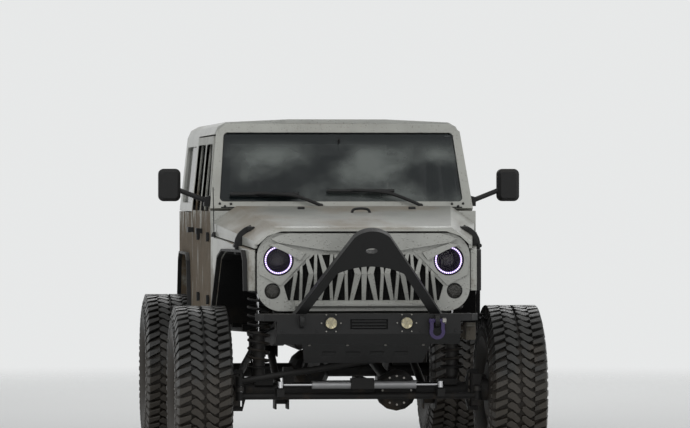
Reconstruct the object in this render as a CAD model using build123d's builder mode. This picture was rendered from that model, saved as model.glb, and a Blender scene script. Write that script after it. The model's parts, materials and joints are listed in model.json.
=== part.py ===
# Lifted four-door off-road 4x4: a ladder frame with two beam axles on coilovers, big mud tyres,
# a hollow tub with four doors, a clamshell hood, a folded grille with crossed teeth, a hard top,
# a short front bumper with a forward-leaning stinger hoop, and a spare wheel on the tailgate.
# Millimetres. +X is the vehicle's left, +Y its rear, +Z up. The origin is on the ground, midway
# between the wheels of each axle and midway between the tip of the hoop and the spare wheel.
from build123d import *

import os
from math import atan2, cos, pi, sin, tan

# Driving dimensions: wheels and stance
WHEELBASE = 2947
TRACK = 1840
TYRE_R = 497
TYRE_W = 342
BEAD_R = 218
NOSE = 970
TAIL = 4052
FRONT_Y = (NOSE - TAIL) / 2
REAR_Y = FRONT_Y + WHEELBASE
WHEEL_X = TRACK / 2
KINGPIN_X = 700
HUB_FACE_X = 875
STEER_ARM = 200

# Driving dimensions: body
SIDE_X = 805
DOOR_THICK = 60
INNER_X = SIDE_X - DOOR_THICK
SILL_Z = 765
DOOR_BOTTOM_Z = 850
FLOOR_Z = 900
CARGO_Z = 1020
SHEET = 24
BELT_Z = 1520
DOOR_TOP_Z = 2004
ROOF_EDGE_Z = 2012
ROOF_Z = 2107
LEAN = (757 - SIDE_X) / (2000 - BELT_Z)
GAP = 6
DOOR_GAP = 5
COWL_Y = FRONT_Y + 690
DOOR_A_Y = FRONT_Y + 806
DOOR_B_Y = FRONT_Y + 1640
DOOR_C_Y = FRONT_Y + 2400
TAIL_Y = FRONT_Y + 3600
HINGE_X = SIDE_X + 12
HINGE_R = 9
HINGE_BACK = 7

# Driving dimensions: nose
GRILLE_Y = FRONT_Y - 470
GRILLE_HALF = 620
GRILLE_LOW_Z = 974
GRILLE_TOP_Z = 1426
GRILLE_THICK = 22
GRILLE_CORNER = 137
HOOD_NOSE_Y = FRONT_Y - 492
HOOD_NOSE_Z = 1463
COWL_Z = 1577
BUMPER_TOP_Z = 964
BUMPER_Y = FRONT_Y - 760
SCREEN_FOOT = (FRONT_Y + 800, 1580)
SCREEN_RAKE = atan2(200, 425)

# Driving dimensions: chassis
RAIL_X = 425
RAIL_W = 70
RAIL_DEPTH = 125
AXLE_TUBE_R = 45
PARTS = {}


def keep(name, shape):
    """Label a finished piece and remember it for export."""
    shape.label = name
    PARTS[name] = shape


def both(shape):
    """The piece and its mirror image in the vehicle's middle plane, as one compound."""
    return Compound([shape, mirror(shape, about=Plane.YZ)])


def rod(start, end, radius):
    """A straight round bar between two points."""
    start, end = Vector(start), Vector(end)
    with BuildPart() as bar:
        with BuildSketch(Plane(origin=start, z_dir=end - start)):
            Circle(radius)
        extrude(amount=(end - start).length)
    return bar.part


def block(low, high):
    """A box between two opposite corners."""
    size = [h - l for l, h in zip(low, high)]
    middle = tuple((h + l) / 2 for l, h in zip(low, high))
    with BuildPart() as box:
        with Locations(middle):
            Box(*size)
    return box.part


# Tyres: one pitch of tread is cut to a sector and repeated round the wheel
PITCHES = 20
SHOULDER_R = 470
LUG_WIDTH = 88
STAGGER = 10
# the carcass on one side of the middle plane: distance from that plane, radius
CARCASS = [(96, TYRE_R), (146, SHOULDER_R), (171, 345), (120, BEAD_R)]
# the shoulder lug on one side: it wraps from the tread face down the sidewall
LUG = [(90, TYRE_R), (150, TYRE_R), (166, 438), (140, 430), (90, 470)]


def tyre_pitch():
    """One sector of the tyre with its pair of staggered shoulder lugs."""
    sector = 600 * tan(pi / PITCHES)
    with BuildPart() as pitch:
        with BuildSketch(Plane.XZ.offset(-sector)):
            Polygon(*[(-x, r) for x, r in reversed(CARCASS)], *CARCASS, align=None)
        extrude(amount=2 * sector)
        for side in (-1, 1):
            with BuildSketch(Plane.XZ.offset(LUG_WIDTH / 2 + side * STAGGER)):
                Polygon(*[(side * x, r) for x, r in LUG], align=None)
            extrude(amount=-LUG_WIDTH)
        with BuildSketch(Plane.YZ.offset(-TYRE_W)):
            Polygon((0, 0), (sector, 600), (-sector, 600), align=None)
        extrude(amount=2 * TYRE_W, mode=Mode.INTERSECT)
    return pitch.part


def make_tyre():
    """A whole tyre about the X axis, its middle plane at the origin."""
    pitch = tyre_pitch()
    ring = [pitch.rotate(Axis.X, 360 / PITCHES * k) for k in range(PITCHES)]
    return ring[0].fuse(*ring[1:]).clean().solid()


RIM_WINDOWS = 8
OFFSET = WHEEL_X - HUB_FACE_X


def make_rim():
    """A wheel rim about the X axis: stepped barrel, windowed disc, hub pad and cap. Outside is +X."""
    across = Plane(origin=(0, 0, 0), x_dir=(0, 1, 0), z_dir=(1, 0, 0))
    with BuildPart() as rim:
        with BuildSketch(across.offset(-120)):
            RegularPolygon(BEAD_R - 0.5, PITCHES, major_radius=False, rotation=180 / PITCHES)
            RegularPolygon(BEAD_R - 14, PITCHES, major_radius=False, rotation=180 / PITCHES,
                           mode=Mode.SUBTRACT)
        extrude(amount=252)
        with BuildSketch(across.offset(112)):
            RegularPolygon(BEAD_R - 14, PITCHES, major_radius=False, rotation=180 / PITCHES)
            RegularPolygon(BEAD_R - 40, PITCHES, major_radius=False, rotation=180 / PITCHES,
                           mode=Mode.SUBTRACT)
        extrude(amount=20)
        with BuildSketch(across.offset(40)):
            RegularPolygon(BEAD_R - 14, PITCHES, major_radius=False, rotation=180 / PITCHES)
            with PolarLocations(0, RIM_WINDOWS):
                Polygon((100, -20), (184, -44), (184, 44), (100, 20), align=None, mode=Mode.SUBTRACT)
        extrude(amount=24)
        with BuildSketch(across.offset(-OFFSET)):
            RegularPolygon(84, 16)
        extrude(amount=OFFSET + 64)
        with BuildSketch(across.offset(64)):
            RegularPolygon(42, 16)
        extrude(amount=26)
    return rim.part


TYRE = make_tyre()
RIM = make_rim()
# columns: place, wheel centre x, wheel centre y, turn about +Z that points the outer face outwards
WHEELS = [
    ("front_left", WHEEL_X, FRONT_Y, 0),
    ("front_right", -WHEEL_X, FRONT_Y, 180),
    ("rear_left", WHEEL_X, REAR_Y, 0),
    ("rear_right", -WHEEL_X, REAR_Y, 180),
]
for place, wheel_x, wheel_y, turn in WHEELS:
    where = Location((wheel_x, wheel_y, TYRE_R), (0, 0, turn))
    keep(f"tyre_{place}", TYRE.moved(where))
    keep(f"rim_{place}", RIM.moved(where))
SPARE_Z = 1440
SPARE_Y = FRONT_Y + TAIL - TYRE_W / 2
spare_place = Location((0, SPARE_Y, SPARE_Z), (0, 0, 90))
keep("spare_tyre", TYRE.moved(spare_place))
keep("spare_rim", RIM.moved(spare_place))

# Axles
DIFF_X = 235
DIFF_R = 122
YOKE_X = 650
YOKE_DEPTH = 60
LINK_FRONT_X = 437
LINK_REAR_X = 480
LINK_FRAME_X = 424
EYE_HALF = 31
EYE_R = 30
# end yoke in front view on the vehicle's left: distance outboard of its root, height from the axle
YOKE = [(0, -45), (20, -122), (75, -122), (75, -97), (20, -97), (16, 0), (20, 97), (75, 97), (75, 122),
        (20, 122), (0, 45)]


def differential(x, y, pinion_dir, radius):
    """A round differential housing with a bolted cover, and its pinion snout."""
    with BuildPart() as housing:
        with BuildSketch(Plane(origin=(x, y, TYRE_R), z_dir=(0, -pinion_dir, 0))):
            RegularPolygon(radius, 14)
        extrude(amount=95)
        chamfer(housing.faces().sort_by(Axis.Y)[0 if pinion_dir > 0 else -1].edges(), 28)
        with BuildSketch(Plane(origin=(x, y, TYRE_R), z_dir=(0, pinion_dir, 0))):
            RegularPolygon(radius, 14)
        extrude(amount=80, taper=24)
        with BuildSketch(Plane(origin=(x, y, TYRE_R + 20), z_dir=(0, pinion_dir, 0))):
            RegularPolygon(60, 12)
        extrude(amount=250)
    return housing.part


with BuildPart() as front_axle:
    with BuildSketch(Plane.YZ.offset(-YOKE_X)):
        with Locations((FRONT_Y, TYRE_R)):
            Circle(AXLE_TUBE_R)
    extrude(amount=2 * YOKE_X)
    add(differential(DIFF_X, FRONT_Y, 1, DIFF_R))
    for side in (-1, 1):
        with BuildSketch(Plane.XZ.offset(-FRONT_Y - YOKE_DEPTH / 2)):
            Polygon(*[(side * (YOKE_X + x), TYRE_R + z) for x, z in YOKE], align=None)
        extrude(amount=YOKE_DEPTH)
        with Locations((side * 545, FRONT_Y, TYRE_R + 48)):
            Box(110, 110, 36)
        for x in (side * LINK_FRONT_X - EYE_HALF - 6, side * LINK_FRONT_X + EYE_HALF + 6):
            with Locations((x, FRONT_Y + 35, TYRE_R - 56)):
                Box(10, 150, 112)
    with Locations((-400, FRONT_Y - 8, TYRE_R + 80)):
        Box(60, 80, 110)
keep("front_axle", front_axle.part)

with BuildPart() as rear_axle:
    with BuildSketch(Plane.YZ.offset(-HUB_FACE_X + 60)):
        with Locations((REAR_Y, TYRE_R)):
            Circle(AXLE_TUBE_R)
    extrude(amount=2 * (HUB_FACE_X - 60))
    add(differential(0, REAR_Y, -1, 138))
    for side in (-1, 1):
        with BuildSketch(Plane(origin=(side * (HUB_FACE_X - 60), REAR_Y, TYRE_R), z_dir=(side, 0, 0))):
            RegularPolygon(160, 20)
            RegularPolygon(62, 20, mode=Mode.SUBTRACT)
        extrude(amount=16)
        with BuildSketch(Plane(origin=(side * (HUB_FACE_X - 62), REAR_Y, TYRE_R), z_dir=(side, 0, 0))):
            RegularPolygon(66, 16)
        extrude(amount=58)
        with Locations((side * (HUB_FACE_X - 60), REAR_Y - 130, TYRE_R + 20)):
            Box(64, 56, 130)
        with Locations((side * 600, REAR_Y, TYRE_R + 46)):
            Box(110, 110, 36)
        for x in (side * LINK_REAR_X - EYE_HALF - 6, side * LINK_REAR_X + EYE_HALF + 6):
            with Locations((x, REAR_Y - 35, TYRE_R - 56)):
                Box(10, 150, 112)
keep("rear_axle", rear_axle.part)


def knuckle(side):
    """Steering knuckle: ball-joint body, spindle, brake disc and caliper, and forward steering arm."""
    x = side * KINGPIN_X
    with BuildPart() as body:
        with Locations((x + side * 20, FRONT_Y, TYRE_R)):
            Box(52, 68, 186)
        with Locations((x, FRONT_Y, TYRE_R)):
            Cylinder(20, 193.8)
        with BuildSketch(Plane(origin=(x + side * 40, FRONT_Y, TYRE_R), z_dir=(side, 0, 0))):
            RegularPolygon(66, 16)
        extrude(amount=HUB_FACE_X - KINGPIN_X - 44)
        with BuildSketch(Plane(origin=(x + side * 82, FRONT_Y, TYRE_R), z_dir=(side, 0, 0))):
            RegularPolygon(160, 20)
        extrude(amount=14)
        with Locations((x + side * 90, FRONT_Y + 130, TYRE_R + 20)):
            Box(62, 56, 130)
        with Locations((x + side * 12, FRONT_Y - 110, TYRE_R + 14)):
            Box(30, 170, 26)
        with Locations((x, FRONT_Y - STEER_ARM, TYRE_R + 14)):
            Cylinder(26, 26)
    return body.part


keep("knuckle_left", knuckle(1))
keep("knuckle_right", knuckle(-1))

# Steering linkage: the tie rod and the drag link shift sideways together, because the knuckles'
# arms and the pitman arm are parallel and equally long
TIE_Z = 470
TIE_Y = FRONT_Y - STEER_ARM
PITMAN_X = 335
PITMAN_Y = FRONT_Y - 120
PITMAN_Z = 772
DAMPER_Z = 541
DAMPER_Y = FRONT_Y - 300
DAMPER_EYE_X = 470
with BuildPart() as tie_rod:
    with BuildSketch(Plane.YZ.offset(-KINGPIN_X)):
        with Locations((TIE_Y, TIE_Z)):
            Circle(20)
    extrude(amount=2 * KINGPIN_X)
    with Locations((-KINGPIN_X, TIE_Y, TIE_Z), (KINGPIN_X, TIE_Y, TIE_Z)):
        Cylinder(25, 50)
    for x in (-DAMPER_EYE_X, DAMPER_EYE_X):
        with Locations((x, TIE_Y - 60, TIE_Z + 24)):
            Box(44, 150, 44)
keep("tie_rod", tie_rod.part)

drag_start = (-KINGPIN_X, TIE_Y, TYRE_R + 60)
drag_end = (PITMAN_X, PITMAN_Y - STEER_ARM, PITMAN_Z - 46)
with BuildPart() as drag_link:
    add(rod(drag_start, drag_end, 19))
    with Locations(drag_start, drag_end):
        Cylinder(25, 56)
keep("drag_link", drag_link.part)

with BuildPart() as pitman_arm:
    with BuildSketch(Plane.XY.offset(PITMAN_Z - 12)):
        with Locations((PITMAN_X, PITMAN_Y - STEER_ARM / 2)):
            SlotCenterToCenter(STEER_ARM, 52, rotation=90)
    extrude(amount=24)
    with Locations((PITMAN_X, PITMAN_Y, PITMAN_Z + 20)):
        Cylinder(24, 40)
keep("pitman_arm", pitman_arm.part)

# Two opposed steering dampers share one bracket on the axle
# columns: body start x, body length
DAMPER_BODIES = [(-285, 225), (78, 247)]
with BuildPart() as dampers:
    for start_x, length in DAMPER_BODIES:
        with BuildSketch(Plane.YZ.offset(start_x)):
            with Locations((DAMPER_Y, DAMPER_Z)):
                Circle(25)
                Circle(10, mode=Mode.SUBTRACT)
        extrude(amount=length)
    with Locations((9, DAMPER_Y, DAMPER_Z + 6)):
        Box(138, 52, 62)
    with Locations((9, (DAMPER_Y + FRONT_Y) / 2, DAMPER_Z + 24)):
        Box(60, 300, 26)
    with Locations((9, FRONT_Y, TYRE_R + AXLE_TUBE_R + 5.1)):
        Box(60, 50, 10)
keep("dampers", dampers.part)
# columns: rod start x, rod length
DAMPER_RODS = [(-450, 275), (195, 255)]
with BuildPart() as damper_rods:
    for start_x, length in DAMPER_RODS:
        with BuildSketch(Plane.YZ.offset(start_x)):
            with Locations((DAMPER_Y, DAMPER_Z)):
                Circle(8)
        extrude(amount=length)
    with Locations((-DAMPER_EYE_X, DAMPER_Y, DAMPER_Z), (DAMPER_EYE_X, DAMPER_Y, DAMPER_Z)):
        Cylinder(20, 36)
keep("damper_rods", damper_rods.part)

# Coilovers: a damper inside a coil, from the axle to the frame's towers; the coil is a stack of
# rings, as many as the spring has turns
SPRING_R = 66
WIRE = 17
COIL_TURNS = 6
# columns: x, y, foot height, top height
COILOVERS = [(572, FRONT_Y, 563.5, 1121.5), (600, REAR_Y, 561.5, 963.5)]


def coilover(x, y, foot_z, top_z):
    """One coilover with its seats and spring."""
    pitch = (top_z - foot_z - 60) / COIL_TURNS
    with BuildPart() as unit:
        with BuildSketch(Plane.XY.offset(foot_z)):
            with Locations((x, y)):
                RegularPolygon(44, 8)
        extrude(amount=top_z - foot_z)
        for k in range(COIL_TURNS):
            with BuildSketch(Plane.XY.offset(foot_z + 30 + pitch * (k + 0.5) - WIRE / 2)):
                with Locations((x, y)):
                    RegularPolygon(SPRING_R, 12)
            extrude(amount=WIRE)
        for z in (foot_z, top_z - 18):
            with BuildSketch(Plane.XY.offset(z)):
                with Locations((x, y)):
                    RegularPolygon(SPRING_R + 6, 12)
            extrude(amount=18)
    return unit.part


springs = [coilover(*row) for row in COILOVERS]
keep("coilovers", Compound([*springs, *[mirror(spring, about=Plane.YZ) for spring in springs]]))

# Ladder frame: side rails with a kick-up over the rear axle, crossmembers and spring towers
RAIL_TOP = [(FRONT_Y - 575, 930), (FRONT_Y - 120, 930), (FRONT_Y + 420, 868), (FRONT_Y + 2250, 868),
            (REAR_Y - 380, 985), (REAR_Y + 260, 985), (TAIL_Y - 40, 900)]
RAIL_OUTLINE = RAIL_TOP + [(y, z - RAIL_DEPTH) for y, z in reversed(RAIL_TOP)]
# columns: y, middle height, depth along y, height
CROSSMEMBERS = [
    (FRONT_Y - 545, 868, 60, 90), (FRONT_Y + 260, 815, 80, 70), (FRONT_Y + 1500, 800, 110, 60),
    (REAR_Y - 250, 905, 70, 90), (TAIL_Y - 85, 850, 60, 90),
]
with BuildPart() as frame:
    for x in (-RAIL_X - RAIL_W / 2, RAIL_X - RAIL_W / 2):
        with BuildSketch(Plane.YZ.offset(x)):
            Polygon(*RAIL_OUTLINE, align=None)
        extrude(amount=RAIL_W)
    for y, z, depth, height in CROSSMEMBERS:
        with Locations((0, y, z)):
            Box(2 * RAIL_X, depth, height)
    for side in (-1, 1):
        with BuildSketch(Plane.XZ.offset(-FRONT_Y + 60)):
            Polygon((side * 440, 800), (side * 466, 800), (side * 500, 1080), (side * 650, 1124),
                    (side * 650, 1148), (side * 440, 1148), align=None)
        extrude(amount=-120)
        with BuildSketch(Plane.XY.offset(800)):
            with Locations((side * 572, FRONT_Y)):
                RegularPolygon(80, 16)
        extrude(amount=322, mode=Mode.SUBTRACT)
        with Locations((side * 560, REAR_Y, 974)):
            Box(240, 140, 20)
        for x in (side * LINK_FRAME_X - EYE_HALF - 6, side * LINK_FRAME_X + EYE_HALF + 6):
            with Locations((x, FRONT_Y + 930, 704), (x, REAR_Y - 930, 704)):
                Box(10, 90, 88)
        for y in (FRONT_Y + 760, FRONT_Y + 1560, FRONT_Y + 2200):
            with Locations((side * 530, y, 840)):
                Box(160, 70, 40)
    with Locations((PITMAN_X + 10, PITMAN_Y, 876)):
        Box(110, 120, 120)
    for side in (-1, 1):
        with Locations((side * 385, FRONT_Y - 600, 868)):
            Box(26, 70, 110)
keep("frame", frame.part)

# Control arms: tubes with an eye at each end, between the cheeks on axle and frame
# columns: eye on the axle, eye on the frame
LINKS = [
    ((LINK_FRONT_X, FRONT_Y + 72, 441), (LINK_FRAME_X, FRONT_Y + 930, 700)),
    ((-LINK_FRONT_X, FRONT_Y + 72, 441), (-LINK_FRAME_X, FRONT_Y + 930, 700)),
    ((LINK_REAR_X, REAR_Y - 72, 441), (LINK_FRAME_X, REAR_Y - 930, 700)),
    ((-LINK_REAR_X, REAR_Y - 72, 441), (-LINK_FRAME_X, REAR_Y - 930, 700)),
]


def control_arm(start, end):
    """One link between two eyes."""
    with BuildPart() as arm:
        add(rod(start, end, 23))
        for x, y, z in (start, end):
            with BuildSketch(Plane.YZ.offset(x - EYE_HALF)):
                with Locations((y, z)):
                    Circle(EYE_R)
            extrude(amount=2 * EYE_HALF)
    return arm.part


keep("control_arms", Compound([control_arm(*row) for row in LINKS]))

# Driveline, tank and exhaust
keep("driveshafts", Compound([
    rod((DIFF_X, FRONT_Y + 262, TYRE_R + 26), (170, FRONT_Y + 1553, 733), 30),
    rod((0, REAR_Y - 262, TYRE_R + 28), (0, FRONT_Y + 1796, 790), 36),
]))
keep("powertrain", Compound([
    block((-280, FRONT_Y - 60, 890), (280, FRONT_Y + 600, 1330)),
    block((-150, FRONT_Y + 605, 760), (150, FRONT_Y + 1440, 868)),
    block((-110, FRONT_Y + 1560, 700), (220, FRONT_Y + 1780, 868)),
    block((-390, FRONT_Y - 380, 960), (390, FRONT_Y - 330, 1385)),
]))
EXHAUST_X = -270
with BuildPart() as exhaust:
    add(rod((EXHAUST_X + 20, FRONT_Y + 540, 869), (EXHAUST_X, FRONT_Y + 690, 735), 27))
    add(rod((EXHAUST_X, FRONT_Y + 670, 735), (EXHAUST_X, FRONT_Y + 1920, 735), 27))
    with Locations((EXHAUST_X, FRONT_Y + 2160, 790)):
        Box(150, 520, 140)
    add(rod((EXHAUST_X - 20, FRONT_Y + 2400, 775), (-590, TAIL_Y - 20, 770), 27))
keep("exhaust", exhaust.part)
keep("fuel_tank", block((120, FRONT_Y + 1850, 690), (372, FRONT_Y + 2540, 860)))

# Wheel arches in side view, as offsets (y, z) from each axle, front edge to rear edge
FRONT_ARCH = [(-392, 1090), (-372, 1262), (-330, 1312), (250, 1312), (372, 1270), (616, 850)]
REAR_ARCH = [(-545, 850), (-400, 1210), (-320, 1255), (330, 1255), (410, 1210), (545, 850)]
WHEELHOUSE_X = 640


def fender_x(y):
    """Half width of the front fender's outer face at a length station."""
    share = (y - (FRONT_Y - 440)) / 1130
    return 664 + (SIDE_X - 664) * share


def arch_points(offsets, axle_y):
    """Arch outline in the vehicle's side view."""
    return [(axle_y + y, z) for y, z in offsets]


# Tub
SIDE_OUTLINE = [
    (COWL_Y, SILL_Z), (REAR_Y - 575, SILL_Z), *arch_points(REAR_ARCH, REAR_Y), (TAIL_Y, 850),
    (TAIL_Y, BELT_Z + 10),
    (DOOR_C_Y + GAP, BELT_Z + 10), (DOOR_C_Y + GAP, 1328), (DOOR_C_Y - 53, 1177),
    (DOOR_C_Y - 224, DOOR_BOTTOM_Z - GAP),
    (DOOR_A_Y - GAP, DOOR_BOTTOM_Z - GAP), (DOOR_A_Y - GAP, 1548), (COWL_Y, 1548),
]
FLOOR_TOP = [(COWL_Y, FLOOR_Z), (FRONT_Y + 2246, FLOOR_Z), (FRONT_Y + 2366, CARGO_Z), (TAIL_Y - 40, CARGO_Z)]
with BuildPart() as tub:
    for x in (-SIDE_X, INNER_X):
        with BuildSketch(Plane.YZ.offset(x)):
            Polygon(*SIDE_OUTLINE, align=None)
        extrude(amount=DOOR_THICK)
    with BuildSketch(Plane.YZ.offset(-INNER_X)):
        Polygon(*FLOOR_TOP, *[(y, z - SHEET) for y, z in reversed(FLOOR_TOP)], align=None)
    extrude(amount=2 * INNER_X)
    with Locations((0, COWL_Y + 14, (FLOOR_Z + 1548) / 2)):
        Box(2 * INNER_X, 28, 1548 - FLOOR_Z)
    with Locations((0, (COWL_Y + DOOR_A_Y - GAP) / 2, 1536)):
        Box(2 * INNER_X, DOOR_A_Y - GAP - COWL_Y, SHEET)
    with Locations((0, TAIL_Y - 20, CARGO_Z - 80)):
        Box(2 * INNER_X, 40, 160)
    for side in (-1, 1):
        with Locations((side * 712, DOOR_B_Y, (FLOOR_Z + BELT_Z) / 2 - 16)):
            Box(44, 80, BELT_Z - FLOOR_Z)
        with Locations((side * (WHEELHOUSE_X + 6), REAR_Y + 24, (CARGO_Z + 1285) / 2)):
            Box(14, 1130, 1295 - CARGO_Z)
        with Locations((side * (WHEELHOUSE_X + 56), REAR_Y + 24, 1275)):
            Box(108, 1130, 14)
        with Locations((side * (WHEELHOUSE_X + 56), REAR_Y - 534, 1140),
                       (side * (WHEELHOUSE_X + 56), REAR_Y + 582, 1140)):
            Box(108, 14, 270)
        with Locations((side * 672, TAIL_Y - 30, (CARGO_Z + BELT_Z) / 2)):
            Box(150, 60, BELT_Z - CARGO_Z + 20)
keep("tub", tub.part)

# Front fenders: outer panels that taper towards the nose, with an upper ledge under the hood
FENDER_SEAM = [(FRONT_Y - 440, 1328), (COWL_Y - 4, 1396)]
FENDER_OUTLINE = [*FENDER_SEAM, (COWL_Y - 4, 850), *reversed(arch_points(FRONT_ARCH, FRONT_Y)),
                  (FRONT_Y - 440, 1090)]
FENDER_PLAN = [(626, FRONT_Y - 444), (fender_x(FRONT_Y - 440), FRONT_Y - 444), (SIDE_X, COWL_Y),
               (INNER_X, COWL_Y), (626, FRONT_Y - 380)]
with BuildPart() as fender:
    with BuildSketch(Plane.YZ.offset(560)):
        Polygon(*FENDER_OUTLINE, align=None)
    extrude(amount=300)
    with BuildSketch(Plane.XY.offset(600)):
        Polygon(*FENDER_PLAN, align=None)
    extrude(amount=1000, mode=Mode.INTERSECT)
keep("front_fenders", both(fender.part))


FLARE_OUT = 26
FLARE_BAND = 14


def flare(offsets, axle_y, plan, x_from):
    """A black wheel-arch flare: a band outside the arch, cut to a plan that follows the body side."""
    points = arch_points(offsets, axle_y)
    arch = [(points[0][0], 600), *points, (points[-1][0], 600)]
    with BuildPart() as band:
        with BuildSketch(Plane.YZ.offset(x_from)):
            Polygon(*arch, align=None)
            offset(amount=FLARE_BAND, kind=Kind.INTERSECTION)
            Polygon(*arch, align=None, mode=Mode.SUBTRACT)
            with Locations((axle_y - 750, points[0][1] - 500), (axle_y + 750, points[-1][1] - 500)):
                Rectangle(1500, 1000, mode=Mode.SUBTRACT)
        extrude(amount=400)
        with BuildSketch(Plane.XY.offset(500)):
            Polygon(*plan, align=None)
        extrude(amount=1000, mode=Mode.INTERSECT)
    return band.part


flare_from, flare_to = FRONT_Y - 438, COWL_Y - 10
front_plan = [(fender_x(flare_from) + 0.5, flare_from), (fender_x(flare_from) + FLARE_OUT, flare_from),
              (fender_x(flare_to) + FLARE_OUT, flare_to), (fender_x(flare_to) + 0.5, flare_to)]
rear_plan = [(SIDE_X + 0.5, REAR_Y - 700), (SIDE_X + FLARE_OUT, REAR_Y - 700),
             (SIDE_X + FLARE_OUT, REAR_Y + 652), (SIDE_X + 0.5, REAR_Y + 652)]
flares = [flare(FRONT_ARCH, FRONT_Y, front_plan, 600), flare(REAR_ARCH, REAR_Y, rear_plan, 700)]
keep("flares", Compound([piece for band in flares for piece in (band, mirror(band, about=Plane.YZ))]))

# Inner liners of the front arches: a folded sheet from the fender to the spring tower
LINER = [(FRONT_Y - 384, 1100), (FRONT_Y - 366, 1256), (FRONT_Y - 326, 1304), (FRONT_Y + 246, 1304),
         (FRONT_Y + 366, 1262), (FRONT_Y + 590, 880)]
with BuildPart() as liner:
    with BuildSketch(Plane.YZ.offset(330)):
        Polygon(*LINER, *[(y + 8 if y < FRONT_Y else y - 8, z - 6) for y, z in reversed(LINER)], align=None)
    extrude(amount=480)
    with BuildSketch(Plane.XY.offset(700)):
        Polygon((400, FRONT_Y - 400), (fender_x(FRONT_Y - 400) - 2, FRONT_Y - 400),
                (fender_x(COWL_Y) - 2, COWL_Y), (330, COWL_Y), (330, FRONT_Y + 100), (400, FRONT_Y - 200),
                align=None)
    extrude(amount=700, mode=Mode.INTERSECT)
keep("arch_liners", both(liner.part))

# Grille: a panel with lamp bores, a scowling brow, cheek plates and a row of crossed, kinked teeth
LAMP_X, LAMP_Z, LAMP_R = 496, 1268, 89
SIGNAL_X, SIGNAL_Z, SIGNAL_R = 531, 1090, 46
MOUTH = [(0, 1300), (290, 1300), (465, 1122), (440, 1036), (0, 1036)]
BROW = [(0, 1426), (0, 1322), (215, 1325), (499, 1370), (540, 1392), (500, 1410), (440, 1424)]
EYELID = [(499, 1366), (556, 1358), (470, 1322), (372, 1268), (340, 1312)]
CHEEK = [(312, 1302), (486, 1122), (606, 1186), (612, 1240), (560, 1340), (496, 1357), (420, 1330),
         (372, 1268), (340, 1306)]
TOOTH_KINK_Z = 1191
TOOTH_TOP_Z = 1306
TOOTH_LOW_Z = 1030
# columns: middle x at the kink, middle x at top and bottom, width at the kink, width at the ends
TEETH = [
    (0, 0, 32, 22), (36, 72, 38, 22), (106, 100, 18, 18), (133, 166, 34, 20), (197, 186, 18, 18),
    (224, 256, 32, 20), (284, 279, 18, 16), (308, 340, 28, 20), (366, 368, 16, 16), (398, 420, 22, 16),
]


def tooth(kink_x, end_x, kink_w, end_w):
    """Front view of one tooth, pinched or spread at its kink."""
    return [
        (end_x - end_w / 2, TOOTH_TOP_Z), (end_x + end_w / 2, TOOTH_TOP_Z), (kink_x + kink_w / 2, TOOTH_KINK_Z),
        (end_x + end_w / 2, TOOTH_LOW_Z), (end_x - end_w / 2, TOOTH_LOW_Z), (kink_x - kink_w / 2, TOOTH_KINK_Z),
    ]


def reflected(outline):
    """The outline on the vehicle's other side."""
    return [(-x, z) for x, z in outline]


with BuildPart() as teeth:
    with BuildSketch(Plane.XZ.offset(-GRILLE_Y + 60)):
        for row in TEETH:
            Polygon(*tooth(*row), align=None)
            if row[0] > 0:
                Polygon(*reflected(tooth(*row)), align=None)
    extrude(amount=-100)
    with BuildSketch(Plane.YZ.offset(-500)):
        Polygon((GRILLE_Y - 4, TOOTH_TOP_Z), (GRILLE_Y - 32, TOOTH_KINK_Z), (GRILLE_Y - 4, TOOTH_LOW_Z),
                (GRILLE_Y + 18, TOOTH_LOW_Z), (GRILLE_Y - 10, TOOTH_KINK_Z), (GRILLE_Y + 18, TOOTH_TOP_Z),
                align=None)
    extrude(amount=1000, mode=Mode.INTERSECT)
    with BuildSketch(Plane.XZ.offset(-GRILLE_Y + 80)):
        Polygon((-300, 1310), (300, 1310), (474, 1122), (446, 1026), (-446, 1026), (-474, 1122), align=None)
    extrude(amount=-200, mode=Mode.INTERSECT)
with BuildPart() as grille:
    with BuildSketch(Plane.XZ.offset(-GRILLE_Y)):
        with Locations((0, (GRILLE_LOW_Z + GRILLE_TOP_Z) / 2)):
            RectangleRounded(2 * GRILLE_HALF, GRILLE_TOP_Z - GRILLE_LOW_Z, GRILLE_CORNER)
        for x in (-LAMP_X, LAMP_X):
            with Locations((x, LAMP_Z)):
                Circle(LAMP_R, mode=Mode.SUBTRACT)
        for x in (-SIGNAL_X, SIGNAL_X):
            with Locations((x, SIGNAL_Z)):
                Circle(SIGNAL_R, mode=Mode.SUBTRACT)
        for outline in (MOUTH, reflected(MOUTH)):
            Polygon(*outline, align=None, mode=Mode.SUBTRACT)
    extrude(amount=-GRILLE_THICK)
    for outline, rise in ((BROW, 20), (CHEEK, 9)):
        with BuildSketch(Plane.XZ.offset(-GRILLE_Y)):
            for shape in (outline, reflected(outline)):
                Polygon(*shape, align=None)
            for x in (-LAMP_X, LAMP_X):
                with Locations((x, LAMP_Z)):
                    Circle(LAMP_R, mode=Mode.SUBTRACT)
        extrude(amount=rise)
    with BuildSketch(Plane.XZ.offset(-GRILLE_Y)):
        for shape in (EYELID, reflected(EYELID)):
            Polygon(*shape, align=None)
    extrude(amount=26)
    with BuildSketch(Plane.YZ.offset(-400)):
        Polygon((GRILLE_Y, 1036), (GRILLE_Y - 22, 1018), (GRILLE_Y - 22, 1004), (GRILLE_Y, 990), align=None)
    extrude(amount=800)
    add(teeth.part)
keep("grille", grille.part)

lamp_solids = []
for side in (-1, 1):
    with BuildPart() as lamp:
        with BuildSketch(Plane.XZ.offset(-GRILLE_Y - 4)):
            with Locations((side * LAMP_X, LAMP_Z)):
                Circle(LAMP_R - 1)
        extrude(amount=-60)
    with BuildPart() as signal:
        with BuildSketch(Plane.XZ.offset(-GRILLE_Y)):
            with Locations((side * SIGNAL_X, SIGNAL_Z)):
                Circle(SIGNAL_R - 1)
        extrude(amount=-40)
    lamp_solids += [lamp.part, signal.part]
keep("headlamps", Compound(lamp_solids))

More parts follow.
